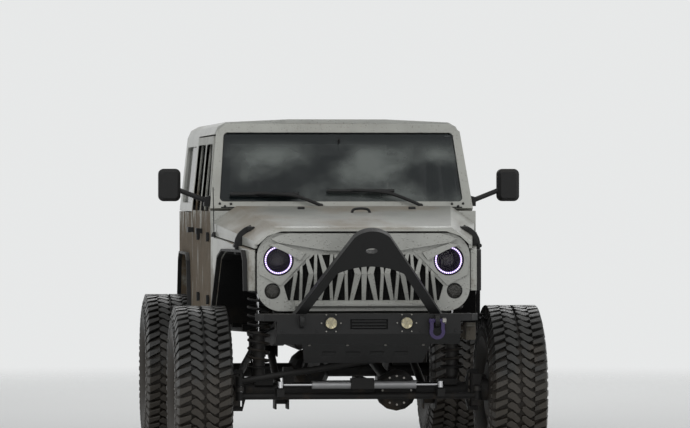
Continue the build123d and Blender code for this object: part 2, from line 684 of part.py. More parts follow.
# Hood: a clamshell with sloping shoulders, wider at the cowl, its nose rolled over the grille
# ridge where the top meets the shoulder, and foot where the shoulder meets the side, at nose and cowl
RIDGE = [(500, HOOD_NOSE_Z), (652, COWL_Z)]
SHOULDER_FOOT = [(627, 1374), (796, 1462)]
HOOD_SEAM = [1334, 1402]
HOOD_THICK = 18


def hood_form(inset):
    """The hood's outer form, or its cavity when inset by the panel's thickness."""
    back = COWL_Y - GAP + (2 if inset else 0)
    nose = HOOD_NOSE_Y + inset
    top_0, top_1 = HOOD_NOSE_Z - inset, COWL_Z - inset
    low_0, low_1 = [z - (40 if inset else 0) for z in HOOD_SEAM]
    with BuildPart() as form:
        with BuildSketch(Plane.YZ.offset(-900)):
            with BuildLine():
                face = Line((nose, low_0), (nose, top_0 - 38))
                roll = ThreePointArc(face @ 1, (nose + 16, top_0 - 12), (nose + 52, top_0))
                crown = Line(roll @ 1, (back, top_1))
                end = Line(crown @ 1, (back, low_1))
                Line(end @ 1, face @ 0)
            make_face()
        extrude(amount=1800)
        for side in (-1, 1):
            ridge = [Vector(side * (x - 0.5 * inset), y, z - inset)
                     for (x, z), y in zip(RIDGE, (HOOD_NOSE_Y, COWL_Y))]
            foot = [Vector(side * (x - inset), y, z)
                    for (x, z), y in zip(SHOULDER_FOOT, (HOOD_NOSE_Y, COWL_Y))]
            for line, point in ((ridge, foot[0]), (foot, foot[0] + Vector(side * 2, 0, -60))):
                normal = (line[1] - line[0]).cross(point - line[0])
                if normal.X * side < 0:
                    normal = -normal
                split(bisect_by=Plane(origin=line[0], z_dir=normal), keep=Keep.BOTTOM)
    return form.part


# the grille's top stands in this opening of the hood's nose, on one side of the middle
NOSE_OPENING = [(0, 1436), (480, 1436), (560, 1409), (614, 1360), (640, 1360), (640, 1290), (0, 1290)]
with BuildPart() as hood:
    add(hood_form(0))
    add(hood_form(HOOD_THICK), mode=Mode.SUBTRACT)
    with BuildSketch(Plane.XZ.offset(-HOOD_NOSE_Y + 5)):
        for outline in (NOSE_OPENING, reflected(NOSE_OPENING)):
            Polygon(*outline, align=None)
    extrude(amount=-53, mode=Mode.SUBTRACT)
keep("hood", hood.part)

# Windshield frame and glass, in the raked plane of the screen
SCREEN_OUTER = [(-802, -18), (802, -18), (748, 500), (690, 552), (-690, 552), (-748, 500)]
SCREEN_OPENING = [(-742, 28), (742, 28), (702, 492), (-702, 492)]
SCREEN_THICK = 46
screen_plane = Plane(origin=(0, *SCREEN_FOOT), x_dir=(1, 0, 0),
                     z_dir=(0, -cos(SCREEN_RAKE), sin(SCREEN_RAKE)))
with BuildPart() as windshield_frame:
    with BuildSketch(screen_plane):
        Polygon(*SCREEN_OUTER, align=None)
    extrude(amount=-SCREEN_THICK)
    with BuildSketch(screen_plane):
        Polygon(*SCREEN_OPENING, align=None)
        fillet(vertices(), 26)
    extrude(amount=-SCREEN_THICK, mode=Mode.SUBTRACT)
keep("windshield_frame", windshield_frame.part)
with BuildPart() as windshield_glass:
    with BuildSketch(screen_plane.offset(-14)):
        Polygon(*SCREEN_OPENING, align=None)
        fillet(vertices(), 26)
        offset(amount=-1, mode=Mode.REPLACE)
    extrude(amount=-6)
keep("windshield_glass", windshield_glass.part)

# Doors: slabs as thick as the whole door, upright to the belt and leaning in above it
# columns: place, front edge, outline in side view, window in side view
DOORS = [
    ("front", DOOR_A_Y,
     [(DOOR_A_Y, DOOR_BOTTOM_Z), (DOOR_B_Y - DOOR_GAP, DOOR_BOTTOM_Z), (DOOR_B_Y - DOOR_GAP, DOOR_TOP_Z),
      (DOOR_A_Y + 300, DOOR_TOP_Z), (DOOR_A_Y + 84, 1550), (DOOR_A_Y, 1540)],
     [(DOOR_A_Y + 130, 1545), (DOOR_B_Y - 60, 1545), (DOOR_B_Y - 60, 1955), (DOOR_A_Y + 322, 1955)]),
    ("rear", DOOR_B_Y + DOOR_GAP,
     [(DOOR_B_Y + DOOR_GAP, DOOR_BOTTOM_Z), (DOOR_C_Y - 230, DOOR_BOTTOM_Z), (DOOR_C_Y - 60, 1180),
      (DOOR_C_Y, 1330),
      (DOOR_C_Y, DOOR_TOP_Z), (DOOR_B_Y + DOOR_GAP, DOOR_TOP_Z)],
     [(DOOR_B_Y + 60, 1545), (DOOR_C_Y - 60, 1545), (DOOR_C_Y - 60, 1955), (DOOR_B_Y + 60, 1955)]),
]
HINGE_HEIGHTS = (1010, 1390)
# bevel on the inner front edge, which would swing into the floor without it
EDGE_BEVEL = 10


def leaning_slab(outline, x_out, thick):
    """A side-view outline given the body side's cross-section."""
    ys = [y for y, z in outline]
    low, high = min(z for y, z in outline), max(z for y, z in outline)
    top_x = x_out + LEAN * (high - BELT_Z)
    low_x = x_out + LEAN * (max(low, BELT_Z) - BELT_Z)
    profile = [(low_x, low), (x_out, BELT_Z), (top_x, high), (top_x - thick, high),
               (x_out - thick, BELT_Z), (low_x - thick, low)]
    if low >= BELT_Z:
        profile = [(low_x, low), (top_x, high), (top_x - thick, high), (low_x - thick, low)]
    with BuildPart() as body:
        with BuildSketch(Plane.XZ.offset(-min(ys))):
            Polygon(*profile, align=None)
        extrude(amount=min(ys) - max(ys))
        with BuildSketch(Plane.YZ.offset(x_out - 200)):
            Polygon(*outline, align=None)
        extrude(amount=300, mode=Mode.INTERSECT)
    return body.part


def door(front_y, outline, window):
    """A door with its window opening, outside hinge barrels and straps, and pull handle."""
    rear_y = max(y for y, z in outline)
    with BuildPart() as panel:
        add(leaning_slab(outline, SIDE_X, DOOR_THICK))
        with BuildSketch(Plane.YZ.offset(500)):
            Polygon(*window, align=None)
            fillet(vertices(), 30)
        extrude(amount=400, mode=Mode.SUBTRACT)
        with BuildSketch(Plane.XY.offset(DOOR_BOTTOM_Z)):
            Polygon((INNER_X, front_y), (INNER_X + EDGE_BEVEL, front_y), (INNER_X, front_y + EDGE_BEVEL),
                    align=None)
        extrude(amount=BELT_Z - DOOR_BOTTOM_Z, mode=Mode.SUBTRACT)
        for z in HINGE_HEIGHTS:
            with Locations((HINGE_X, front_y + HINGE_BACK, z)):
                Cylinder(HINGE_R, 56)
            with Locations((HINGE_X - 7, front_y + 46, z)):
                Box(12, 96, 40)
        with Locations((SIDE_X + 18, rear_y - 110, 1420)):
            Box(36, 24, 30)
        with Locations((SIDE_X + 18, rear_y - 210, 1420)):
            Box(36, 24, 30)
        with Locations((SIDE_X + 30, rear_y - 160, 1420)):
            Box(16, 124, 34)
    return panel.part


for where, front_y, outline, window in DOORS:
    left_door = door(front_y, outline, window)
    left_glass = leaning_slab([(y, z) for y, z in window], SIDE_X - 24, 12)
    with BuildPart() as pane:
        add(left_glass)
        fillet(pane.edges().filter_by(Axis.X), 31)
    keep(f"door_{where}_left", left_door)
    keep(f"door_{where}_right", mirror(left_door, about=Plane.YZ))
    keep(f"glass_{where}_left", pane.part)
    keep(f"glass_{where}_right", mirror(pane.part, about=Plane.YZ))

# Mirrors on long arms
MIRROR_X = 1038
with BuildPart() as mirror_left:
    with BuildSketch(Plane.XZ.offset(-(FRONT_Y + 915))):
        with Locations((MIRROR_X, 1704)):
            RectangleRounded(134, 198, 34)
    extrude(amount=-76)
    chamfer(mirror_left.faces().sort_by(Axis.Y)[0].edges(), 20)
    add(rod((SIDE_X + 14, FRONT_Y + 930, 1610), (MIRROR_X - 60, FRONT_Y + 950, 1672), 15))
    with BuildSketch(Plane.XZ.offset(-(FRONT_Y + 882))):
        Polygon((SIDE_X + LEAN * 55 + 0.5, BELT_Z + 55), (SIDE_X + 26, BELT_Z + 55),
                (SIDE_X + 26, BELT_Z + 110),
                (SIDE_X + LEAN * 120 + 0.5, BELT_Z + 120), align=None)
    extrude(amount=-96)
keep("mirror_left", mirror_left.part)
keep("mirror_right", mirror(mirror_left.part, about=Plane.YZ))

# Hard top: one shell from the windshield header to the tail, its roof a little crowned
TOP_FRONT = FRONT_Y + 1086
TOP_HALF = SIDE_X + LEAN * (ROOF_EDGE_Z - BELT_Z)
TOP_SECTION = [(SIDE_X, BELT_Z + 14), (TOP_HALF, ROOF_EDGE_Z), (TOP_HALF - 22, 2062),
               (TOP_HALF - 70, ROOF_Z - 18), (300, ROOF_Z)]
TOP_CAVITY = [(SIDE_X - 50, BELT_Z), (TOP_HALF - 45, ROOF_EDGE_Z), (TOP_HALF - 100, ROOF_Z - 55),
              (300, ROOF_Z - 36)]
TOP_WINDOW = [(DOOR_C_Y + 120, 1590), (TAIL_Y - 190, 1590), (TAIL_Y - 210, 1950), (DOOR_C_Y + 120, 1950)]
# the hard top's tail leans forward: run forward, rise
TAIL_RUN = (110, 680)
REAR_OPENING = [(-600, BELT_Z), (600, BELT_Z), (570, 1980), (-570, 1980)]
with BuildPart() as hard_top:
    with BuildSketch(Plane.XZ.offset(-TOP_FRONT)):
        Polygon(*TOP_SECTION, *reversed(reflected(TOP_SECTION)), align=None)
    extrude(amount=TOP_FRONT - TAIL_Y)
    with BuildSketch(Plane.XZ.offset(-TOP_FRONT + 1)):
        Polygon(*TOP_CAVITY, *reversed(reflected(TOP_CAVITY)), align=None)
    extrude(amount=TOP_FRONT - TAIL_Y + 60, mode=Mode.SUBTRACT)
    with BuildSketch(Plane.YZ.offset(-900)):
        Polygon((FRONT_Y + 1000, BELT_Z), (DOOR_C_Y + GAP, BELT_Z), (DOOR_C_Y + GAP, ROOF_EDGE_Z),
                (FRONT_Y + 1000, ROOF_EDGE_Z), align=None)
        Polygon((TAIL_Y, BELT_Z), (TAIL_Y + 10, BELT_Z), (TAIL_Y + 10, BELT_Z + TAIL_RUN[1]),
                (TAIL_Y - TAIL_RUN[0], BELT_Z + TAIL_RUN[1]), align=None)
    extrude(amount=1800, mode=Mode.SUBTRACT)
    with BuildSketch(Plane.YZ.offset(-900)):
        Polygon(*TOP_WINDOW, align=None)
        fillet(vertices(), 40)
    extrude(amount=1800, mode=Mode.SUBTRACT)
    with BuildSketch(Plane.XZ.offset(-(TAIL_Y - 300))):
        Polygon(*REAR_OPENING, align=None)
    extrude(amount=-400, mode=Mode.SUBTRACT)
keep("hard_top", hard_top.part)
with BuildPart() as side_pane:
    add(leaning_slab(TOP_WINDOW, SIDE_X - 18, 12))
    fillet(side_pane.edges().filter_by(Axis.X), 41)
keep("top_glass", both(side_pane.part))

# Tailgate with its spare carrier, and the lifting rear glass
TAILGATE_HALF = 590
with BuildPart() as tailgate:
    with Locations((0, TAIL_Y - 26, (CARGO_Z + BELT_Z) / 2 + 6)):
        Box(2 * TAILGATE_HALF, 52, BELT_Z - CARGO_Z)
    with BuildSketch(Plane.XZ.offset(-TAIL_Y)):
        with Locations((0, SPARE_Z - 20)):
            RegularPolygon(110, 12)
    extrude(amount=TAIL_Y - (SPARE_Y - OFFSET) + 1)
    for z in (1130, 1370):
        with Locations((-TAILGATE_HALF - 10, TAIL_Y + 13, z)):
            Cylinder(HINGE_R + 3, 60)
        with Locations((-TAILGATE_HALF + 70, TAIL_Y + 8, z)):
            Box(156, 16, 46)
keep("tailgate", tailgate.part)
# the glass lies in the plane of the hard top's leaning tail
glass_plane = Plane(origin=(0, TAIL_Y - 5, BELT_Z + 14), x_dir=(1, 0, 0),
                    z_dir=(0, -TAIL_RUN[1], -TAIL_RUN[0]))
with BuildPart() as rear_glass:
    with BuildSketch(glass_plane):
        Polygon((-594, 0), (594, 0), (566, 444), (-566, 444), align=None)
    extrude(amount=6)
keep("rear_glass", rear_glass.part)

# Front bumper: a short folded box, its recovery tabs, and the stinger hoop welded on top
TAB_X = 389
TAB_THICK = 25
PIN_R = 12
PIN_Y, PIN_Z = BUMPER_Y - 36, 926
HOOP_LEAN = atan2(258, 486)
HOOP_PLANE = Plane(origin=(0, FRONT_Y - 690, BUMPER_TOP_Z), x_dir=(1, 0, 0),
                   z_dir=(0, -cos(HOOP_LEAN), -sin(HOOP_LEAN)))
HOOP_TOP = 551
with BuildPart() as front_bumper:
    with BuildSketch(Plane.XY.offset(BUMPER_TOP_Z - 40)):
        Polygon((-642, FRONT_Y - 650), (-600, BUMPER_Y + 30), (-520, BUMPER_Y), (520, BUMPER_Y),
                (600, BUMPER_Y + 30),
                (642, FRONT_Y - 650), (642, FRONT_Y - 590), (-642, FRONT_Y - 590), align=None)
    extrude(amount=40)
    with BuildSketch(Plane.YZ.offset(-530)):
        Polygon((BUMPER_Y, BUMPER_TOP_Z - 40), (BUMPER_Y, 850), (BUMPER_Y + 60, 790),
                (FRONT_Y - 640, 790), (FRONT_Y - 640, BUMPER_TOP_Z - 40), align=None)
    extrude(amount=1060)
    with BuildSketch(Plane.XZ.offset(-BUMPER_Y)):
        with Locations((0, 906)):
            Rectangle(216, 56)
    extrude(amount=-30, mode=Mode.SUBTRACT)
    with BuildSketch(HOOP_PLANE):
        with BuildLine():
            Line((-437, -14), (-104, 508))
            ThreePointArc((-104, 508), (0, HOOP_TOP), (104, 508))
            Polyline((104, 508), (437, -14), (372, -14), (192, 274))
            ThreePointArc((192, 274), (0, 322), (-192, 274))
            Polyline((-192, 274), (-372, -14), (-437, -14))
        make_face()
        with Locations((0, 424)):
            Ellipse(34, 17, mode=Mode.SUBTRACT)
    extrude(amount=24, both=True)
    for side in (-1, 1):
        with BuildSketch(Plane.YZ.offset(side * TAB_X - TAB_THICK / 2)):
            with BuildLine():
                Polyline((BUMPER_Y + 10, 962), (BUMPER_Y - 34, 956))
                ThreePointArc((BUMPER_Y - 34, 956), (BUMPER_Y - 66, 926), (BUMPER_Y - 34, 896))
                Polyline((BUMPER_Y - 34, 896), (BUMPER_Y + 10, 880), (BUMPER_Y + 10, 962))
            make_face()
            with Locations((PIN_Y, PIN_Z)):
                Circle(PIN_R, mode=Mode.SUBTRACT)
        extrude(amount=TAB_THICK)
keep("front_bumper", front_bumper.part)

# Bow shackle on the left tab, hanging from its pin
BOW_THICK = 22
with BuildPart() as shackle:
    add(rod((TAB_X - 46, PIN_Y, PIN_Z), (TAB_X + 46, PIN_Y, PIN_Z), PIN_R - 0.05))
    with BuildSketch(Plane.XZ.offset(-(PIN_Y - BOW_THICK / 2))):
        with Locations((TAB_X, PIN_Z - 62)):
            Circle(45)
            Circle(25, mode=Mode.SUBTRACT)
        with Locations((TAB_X, PIN_Z - 20)):
            Rectangle(84, 62)
        with Locations((TAB_X, PIN_Z - 24)):
            Rectangle(44, 82, mode=Mode.SUBTRACT)
    extrude(amount=-BOW_THICK)
keep("shackle", shackle.part)

spot_solids = []
for x in (-218, 218):
    with BuildPart() as spot:
        with BuildSketch(Plane.XZ.offset(-BUMPER_Y)):
            with Locations((x, 913)):
                RegularPolygon(38, 20)
        extrude(amount=16)
    spot_solids.append(spot.part)
keep("spot_lamps", Compound(spot_solids))

# Rear bumper with a square hitch receiver, and tail lamps
with BuildPart() as rear_bumper:
    with BuildSketch(Plane.XY.offset(800)):
        Polygon((-760, TAIL_Y + 10), (760, TAIL_Y + 10), (760, TAIL_Y + 80), (680, TAIL_Y + 140),
                (-680, TAIL_Y + 140), (-760, TAIL_Y + 80), align=None)
    extrude(amount=130)
    with Locations((0, TAIL_Y + 60, 775)):
        Box(76, 220, 76)
    with Locations((0, TAIL_Y + 100, 775)):
        Box(51, 160, 51, mode=Mode.SUBTRACT)
    for x in (-RAIL_X, RAIL_X):
        with Locations((x, TAIL_Y - 14.7, 834)):
            Box(60, 49.6, 46)
keep("rear_bumper", rear_bumper.part)
tail_solids = [block((x - 60, TAIL_Y + 2, 1190), (x + 60, TAIL_Y + 46, 1390)) for x in (-690, 690)]
keep("tail_lamps", Compound(tail_solids))

# Cabin: dashboard with console and steering column
WHEEL_HUB = Vector(370, FRONT_Y + 1110, 1440)
COLUMN_DIR = Vector(0, 1, 0.45).normalized()
with BuildPart() as dashboard:
    with BuildSketch(Plane.YZ.offset(-700)):
        Polygon((COWL_Y + 30, 1300), (COWL_Y + 30, 1520), (FRONT_Y + 880, 1520), (FRONT_Y + 1000, 1480),
                (FRONT_Y + 980, 1330), (FRONT_Y + 900, 1290), align=None)
    extrude(amount=1400)
    with BuildSketch(Plane.YZ.offset(-120)):
        Polygon((FRONT_Y + 800, FLOOR_Z), (FRONT_Y + 900, 1300), (FRONT_Y + 980, 1330),
                (FRONT_Y + 1060, 1130), (FRONT_Y + 1880, 1120), (FRONT_Y + 1880, FLOOR_Z), align=None)
    extrude(amount=240)
    add(rod(WHEEL_HUB - 150 * COLUMN_DIR, WHEEL_HUB - 2 * COLUMN_DIR, 28))
keep("dashboard", dashboard.part)


def seat(x, y, width, plinth):
    """A seat on its plinth: cushion, raked back and head restraints."""
    with BuildPart() as chair:
        with BuildSketch(Plane.YZ.offset(x - width / 2)):
            Polygon((y + 20, 1060), (y, 1172), (y + 30, 1194), (y + 420, 1165), (y + 540, 1690),
                    (y + 570, 1720),
                    (y + 640, 1700), (y + 640, 1640), (y + 560, 1060), align=None)
        extrude(amount=width)
        with Locations((x, y + 40 + plinth / 2, 982)):
            Box(width - 120, plinth, 162)
        for k in range(round(width / 480)):
            head_x = x - width / 2 + width / round(width / 480) * (k + 0.5)
            with Locations((head_x, y + 620, 1776)):
                Box(250, 90, 140)
    return chair.part


# columns: middle x, front edge y, width, plinth depth
SEATS = [(370, FRONT_Y + 1230, 480, 420), (-370, FRONT_Y + 1230, 480, 420), (0, FRONT_Y + 2040, 1150, 160)]
keep("seats", Compound([seat(*row) for row in SEATS]))

wheel_plane = Plane(origin=WHEEL_HUB, x_dir=(1, 0, 0), z_dir=COLUMN_DIR)
with BuildPart() as steering_wheel:
    with BuildSketch(wheel_plane):
        RegularPolygon(190, 24)
        RegularPolygon(162, 24, mode=Mode.SUBTRACT)
        Rectangle(340, 40)
        with Locations((0, 84)):
            Rectangle(44, 168)
        Circle(60)
    extrude(amount=26)
keep("steering_wheel", steering_wheel.part)

# Roll cage: two hoops joined by side rails to a front tube, in straight tubes
CAGE_R = 25
CAGE_Z = 1988
# columns: half width, y, foot height, of the hoops
HOOPS = [(640, DOOR_B_Y, FLOOR_Z), (605, DOOR_C_Y + 60, CARGO_Z)]
# columns: half width, y, of the stations that the side rails run through
CAGE_STATIONS = [(640, FRONT_Y + 1120), (640, DOOR_B_Y), (605, DOOR_C_Y + 60)]
with BuildPart() as roll_cage:
    for half, y in CAGE_STATIONS:
        with BuildSketch(Plane.YZ.offset(-half - CAGE_R)):
            with Locations((y, CAGE_Z)):
                Circle(CAGE_R)
        extrude(amount=2 * (half + CAGE_R))
    for half, y, foot_z in HOOPS:
        with BuildSketch(Plane.XY.offset(foot_z)):
            with Locations((-half, y), (half, y)):
                Circle(CAGE_R - 1)
        extrude(amount=CAGE_Z - foot_z)
    for (half_0, y_0), (half_1, y_1) in zip(CAGE_STATIONS, CAGE_STATIONS[1:]):
        for side in (-1, 1):
            add(rod((side * half_0, y_0, CAGE_Z), (side * half_1, y_1, CAGE_Z), CAGE_R - 3))
keep("roll_cage", roll_cage.part)

os.makedirs("parts", exist_ok=True)
for name, shape in PARTS.items():
    export_step(shape, f"parts/{name}.step")
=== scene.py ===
"""Looks of a lifted four-door off-road 4x4: finishes, tread, springs, lamps and small fittings.

Metres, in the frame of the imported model: +X is the vehicle's left, +Y its rear, +Z up. Places
along the vehicle are written from the front axle, and `rearward` turns them into the frame's y.
"""
import functools
import json
import logging
from collections.abc import Callable, Iterable, Sequence
from dataclasses import dataclass, field
from enum import Enum, auto
from math import atan2, cos, pi, radians, sin, tau

import bmesh
import bpy
from bmesh.types import BMesh
from mathutils import Matrix, Vector


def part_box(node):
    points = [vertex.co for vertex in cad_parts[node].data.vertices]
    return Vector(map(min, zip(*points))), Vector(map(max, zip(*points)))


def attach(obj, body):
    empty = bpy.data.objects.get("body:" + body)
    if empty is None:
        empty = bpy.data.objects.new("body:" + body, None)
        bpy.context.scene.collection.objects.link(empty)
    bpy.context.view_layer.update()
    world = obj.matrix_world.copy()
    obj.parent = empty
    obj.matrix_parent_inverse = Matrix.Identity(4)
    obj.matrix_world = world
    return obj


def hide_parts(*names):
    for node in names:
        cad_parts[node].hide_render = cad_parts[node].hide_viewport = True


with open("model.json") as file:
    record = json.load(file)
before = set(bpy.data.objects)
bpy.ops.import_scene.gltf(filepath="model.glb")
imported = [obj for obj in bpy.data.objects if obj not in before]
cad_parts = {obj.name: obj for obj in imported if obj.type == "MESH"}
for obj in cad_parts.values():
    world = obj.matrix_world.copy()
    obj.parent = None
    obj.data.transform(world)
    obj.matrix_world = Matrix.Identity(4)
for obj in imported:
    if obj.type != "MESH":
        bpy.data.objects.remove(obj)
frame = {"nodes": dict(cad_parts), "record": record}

log = logging.getLogger("vehicle")

Point = tuple[float, float, float]
Flat = tuple[float, float]
Outline = Sequence[Flat]


def middle(node: str) -> Vector:
    """The middle of a node's box."""
    low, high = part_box(node)
    return (low + high) / 2


FRONT_AXLE = middle("rim_front_left").y
REAR_AXLE = middle("rim_rear_left").y
WHEEL_X = 0.920
AXLE_Z = 0.497
CORNERS = ("front_left", "front_right", "rear_left", "rear_right")


def rearward(distance: float) -> float:
    """The frame's y at a distance behind the front axle."""
    return FRONT_AXLE + distance


# Finishes ---------------------------------------------------------------------------------------


class Texture(Enum):
    """The fine relief of a surface."""

    PLAIN = auto()
    RAIN = auto()
    GRAIN = auto()
    BRUSHED = auto()
    CAST = auto()
    RUBBER = auto()
    WEAVE = auto()


class Signal:
    """A shader socket that is used in Python arithmetic."""

    def __init__(self, graph: "Graph", socket: bpy.types.NodeSocket) -> None:
        """Wraps one output socket of a graph."""
        self.graph = graph
        self.socket = socket

    def _math(self, operation: str, *values: "Signal | float") -> "Signal":
        """Adds one Math node and returns its result."""
        node = self.graph.node("ShaderNodeMath", {"operation": operation}, dict(enumerate(values)))
        return Signal(self.graph, node.outputs[0])

    def __add__(self, other: "Signal | float") -> "Signal":
        """Sum."""
        return self._math("ADD", self, other)

    __radd__ = __add__

    def __sub__(self, other: "Signal | float") -> "Signal":
        """Difference."""
        return self._math("SUBTRACT", self, other)

    def __rsub__(self, other: float) -> "Signal":
        """Difference from a number."""
        return self._math("SUBTRACT", other, self)

    def __mul__(self, other: "Signal | float") -> "Signal":
        """Product."""
        return self._math("MULTIPLY", self, other)

    __rmul__ = __mul__

    def sine(self) -> "Signal":
        """The sine of the value, in radians."""
        return self._math("SINE", self)

    def clamped(self) -> "Signal":
        """The value held between 0 and 1."""
        return self._math("MINIMUM", self._math("MAXIMUM", self, 0.0), 1.0)

    def between(self, low: float, high: float) -> "Signal":
        """A smooth step: 0 at or below low, 1 at or above high."""
        node = self.graph.node(
            "ShaderNodeMapRange", {"interpolation_type": "SMOOTHSTEP"}, {0: self, 1: low, 2: high}
        )
        return Signal(self.graph, node.outputs[0])


class Graph:
    """The node tree of one material."""

    def __init__(self, name: str) -> None:
        """Starts an empty tree with a surface shader and its output."""
        self.material = bpy.data.materials.new(name)
        self.material.use_nodes = True
        self.tree = self.material.node_tree
        self.tree.nodes.clear()
        self.shader = self.node("ShaderNodeBsdfPrincipled")
        output = self.node("ShaderNodeOutputMaterial")
        self.tree.links.new(self.shader.outputs[0], output.inputs[0])
        place = self.node("ShaderNodeTexCoord")
        self.place = place.outputs["Object"]
        self.facing = place.outputs["Normal"]

    def node(self, kind: str, settings: dict | None = None, inputs: dict | None = None) -> bpy.types.Node:
        """Adds a node.

        Args:
            kind: the node's type.
            settings: its properties, set before its sockets.
            inputs: values, sockets or signals by socket name or number.

        Returns:
            The new node.
        """
        made = self.tree.nodes.new(kind)
        for key, value in (settings or {}).items():
            setattr(made, key, value)
        for key, value in (inputs or {}).items():
            self.feed(made.inputs[key], value)
        return made

    def feed(self, socket: bpy.types.NodeSocket, value: object) -> None:
        """Links or sets one input socket."""
        if isinstance(value, Signal):
            self.tree.links.new(value.socket, socket)
        elif isinstance(value, bpy.types.NodeSocket):
            self.tree.links.new(value, socket)
        else:
            socket.default_value = value

    def noise(self, scale: float, detail: float = 3.0, stretch: Point = (1, 1, 1)) -> Signal:
        """Soft noise, with its cells a given number to the metre."""
        at = self.node("ShaderNodeMapping", None, {"Vector": self.place, "Scale": stretch})
        inputs = {"Vector": at.outputs[0], "Scale": scale, "Detail": detail}
        return Signal(self, self.node("ShaderNodeTexNoise", None, inputs).outputs[0])

    def cells(self, scale: float) -> tuple[Signal, Signal]:
        """Distance to the nearest of scattered points, and a number that differs from cell to cell."""
        made = self.node("ShaderNodeTexVoronoi", None, {"Vector": self.place, "Scale": scale})
        parts = self.node("ShaderNodeSeparateColor", None, {0: made.outputs["Color"]})
        return Signal(self, made.outputs["Distance"]), Signal(self, parts.outputs[0])

    def axes(self, vector: bpy.types.NodeSocket) -> tuple[Signal, Signal, Signal]:
        """The three parts of a vector."""
        made = self.node("ShaderNodeSeparateXYZ", None, {0: vector})
        return tuple(Signal(self, made.outputs[k]) for k in range(3))

    def blend(self, factor: Signal | float, first: object, second: object) -> bpy.types.NodeSocket:
        """A mix of two colours."""
        made = self.node("ShaderNodeMix", {"data_type": "RGBA"})
        self.feed(made.inputs[0], factor)
        for number, colour in ((6, first), (7, second)):
            self.feed(made.inputs[number], (*colour, 1.0) if isinstance(colour, tuple) else colour)
        return made.outputs[2]

    def relief(self, height: Signal, depth: float) -> None:
        """Feeds a bump of the given depth, in metres, to the surface's normal."""
        bump = self.node("ShaderNodeBump", None, {"Height": height, "Distance": depth, "Strength": 1.0})
        self.feed(self.shader.inputs["Normal"], bump.outputs[0])

    def settle(self, **values: object) -> None:
        """Sets or links the surface shader's sockets, named with underscores for spaces."""
        for key, value in values.items():
            self.feed(self.shader.inputs[key.replace("_", " ")], value)


# how rough dirt is, and over what height splashed mud fades out
DIRT_ROUGHNESS = 0.86
MUD_FADE = 0.75
MUD = (0.062, 0.042, 0.024)
DRY_MUD = (0.150, 0.112, 0.072)
PAINT = (0.330, 0.332, 0.302)
BLACK_RUBBER = (0.013, 0.0125, 0.012)


@dataclass(frozen=True)
class Finish:
    """A coating or raw surface, with the dirt that lies on it.

    Fields: name; colour; roughness; texture, its relief; mud, how much splashed mud covers it low
    down; mud_top, the height in metres where that ends; film, how much thin dried film lies on what
    faces up; gleam, the shader's specular level; metallic; coat, the clear coat's weight.
    """

    name: str
    colour: Point
    roughness: float
    texture: Texture = Texture.PLAIN
    mud: float = 0.0
    mud_top: float = 1.2
    film: float = 0.0
    gleam: float = 0.5
    metallic: float = 0.0
    coat: float = 0.0

    def _height(self, graph: Graph) -> tuple[Signal, float]:
        """The relief's height and its depth in metres."""
        if self.texture is Texture.RAIN:
            distance, lot = graph.cells(62.0)
            drop = (1.0 - distance.between(0.10, 0.42)) * lot.between(0.45, 0.5)
            return drop + graph.noise(260.0, 2.0) * 0.06, 0.0022
        if self.texture is Texture.GRAIN:
            distance, _ = graph.cells(420.0)
            return distance + graph.noise(90.0) * 0.4, 0.0006
        if self.texture is Texture.BRUSHED:
            return graph.noise(60.0, 2.0, (1.0, 22.0, 22.0)), 0.0004
        if self.texture is Texture.CAST:
            return graph.noise(170.0, 5.0) + graph.noise(24.0) * 0.8, 0.0016
        if self.texture is Texture.RUBBER:
            return graph.noise(120.0, 4.0) + graph.noise(640.0, 1.0) * 0.3, 0.0010
        if self.texture is Texture.WEAVE:
            x, y, z = graph.axes(graph.place)
            warp = (x * 1400.0).sine()
            weft = ((y + z) * 1400.0).sine()
            return warp * weft * 0.5 + graph.noise(60.0) * 0.5, 0.0012
        return graph.noise(40.0, 2.0), 0.0002

    def build(self) -> bpy.types.Material:
        """The node material of this finish."""
        graph = Graph(self.name)
        shade = tuple(c * 0.80 for c in self.colour)
        colour = graph.blend(graph.noise(3.1, 5.0).between(0.35, 0.75), self.colour, shade)
        height, depth = self._height(graph)
        dirt: Signal | float = 0.0
        if self.texture is Texture.RAIN:
            wet = graph.noise(7.0, 6.0, (1.0, 1.0, 0.35)).between(0.50, 0.72)
            colour = graph.blend(wet * 0.30, colour, tuple(c * 0.62 for c in self.colour))
            distance, lot = graph.cells(48.0)
            speck = (1.0 - distance.between(0.12, 0.30)) * lot.between(0.62, 0.70)
            colour = graph.blend(speck * 0.38, colour, MUD)
        if self.film:
            _, _, up = graph.axes(graph.facing)
            patches = graph.noise(2.3, 7.0, (1.0, 0.55, 1.0)).between(0.40, 0.66)
            dirt = (patches * up.between(0.30, 0.95) * self.film).clamped()
            colour = graph.blend(dirt, colour, DRY_MUD)
        if self.mud:
            _, _, z = graph.axes(graph.place)
            low = 1.0 - z.between(self.mud_top - MUD_FADE, self.mud_top)
            splash = graph.noise(8.5, 9.0, (1.0, 1.0, 0.45)) + graph.noise(55.0, 4.0) * 0.22
            cover = (splash + low * 0.55 - 0.30).between(0.55, 0.80) * self.mud
            tone = graph.blend(graph.noise(19.0, 5.0) * 0.8, MUD, DRY_MUD)
            colour = graph.blend(cover, colour, tone)
            dirt = (cover + dirt).clamped()
            height = height + cover * graph.noise(80.0, 6.0) * 1.2
        graph.settle(Base_Color=colour, Metallic=self.metallic)
        if self.mud or self.film:
            graph.settle(Roughness=dirt * (DIRT_ROUGHNESS - self.roughness) + self.roughness)
            graph.settle(Coat_Weight=(1.0 - dirt) * self.coat if self.coat else 0.0)
        else:
            rough = graph.noise(14.0, 4.0).between(0.3, 0.7) * 0.12 + (self.roughness - 0.04)
            graph.settle(Roughness=rough, Coat_Weight=self.coat)
        graph.settle(Coat_Roughness=0.12, Specular_IOR_Level=self.gleam)
        graph.relief(height, depth)
        return graph.material


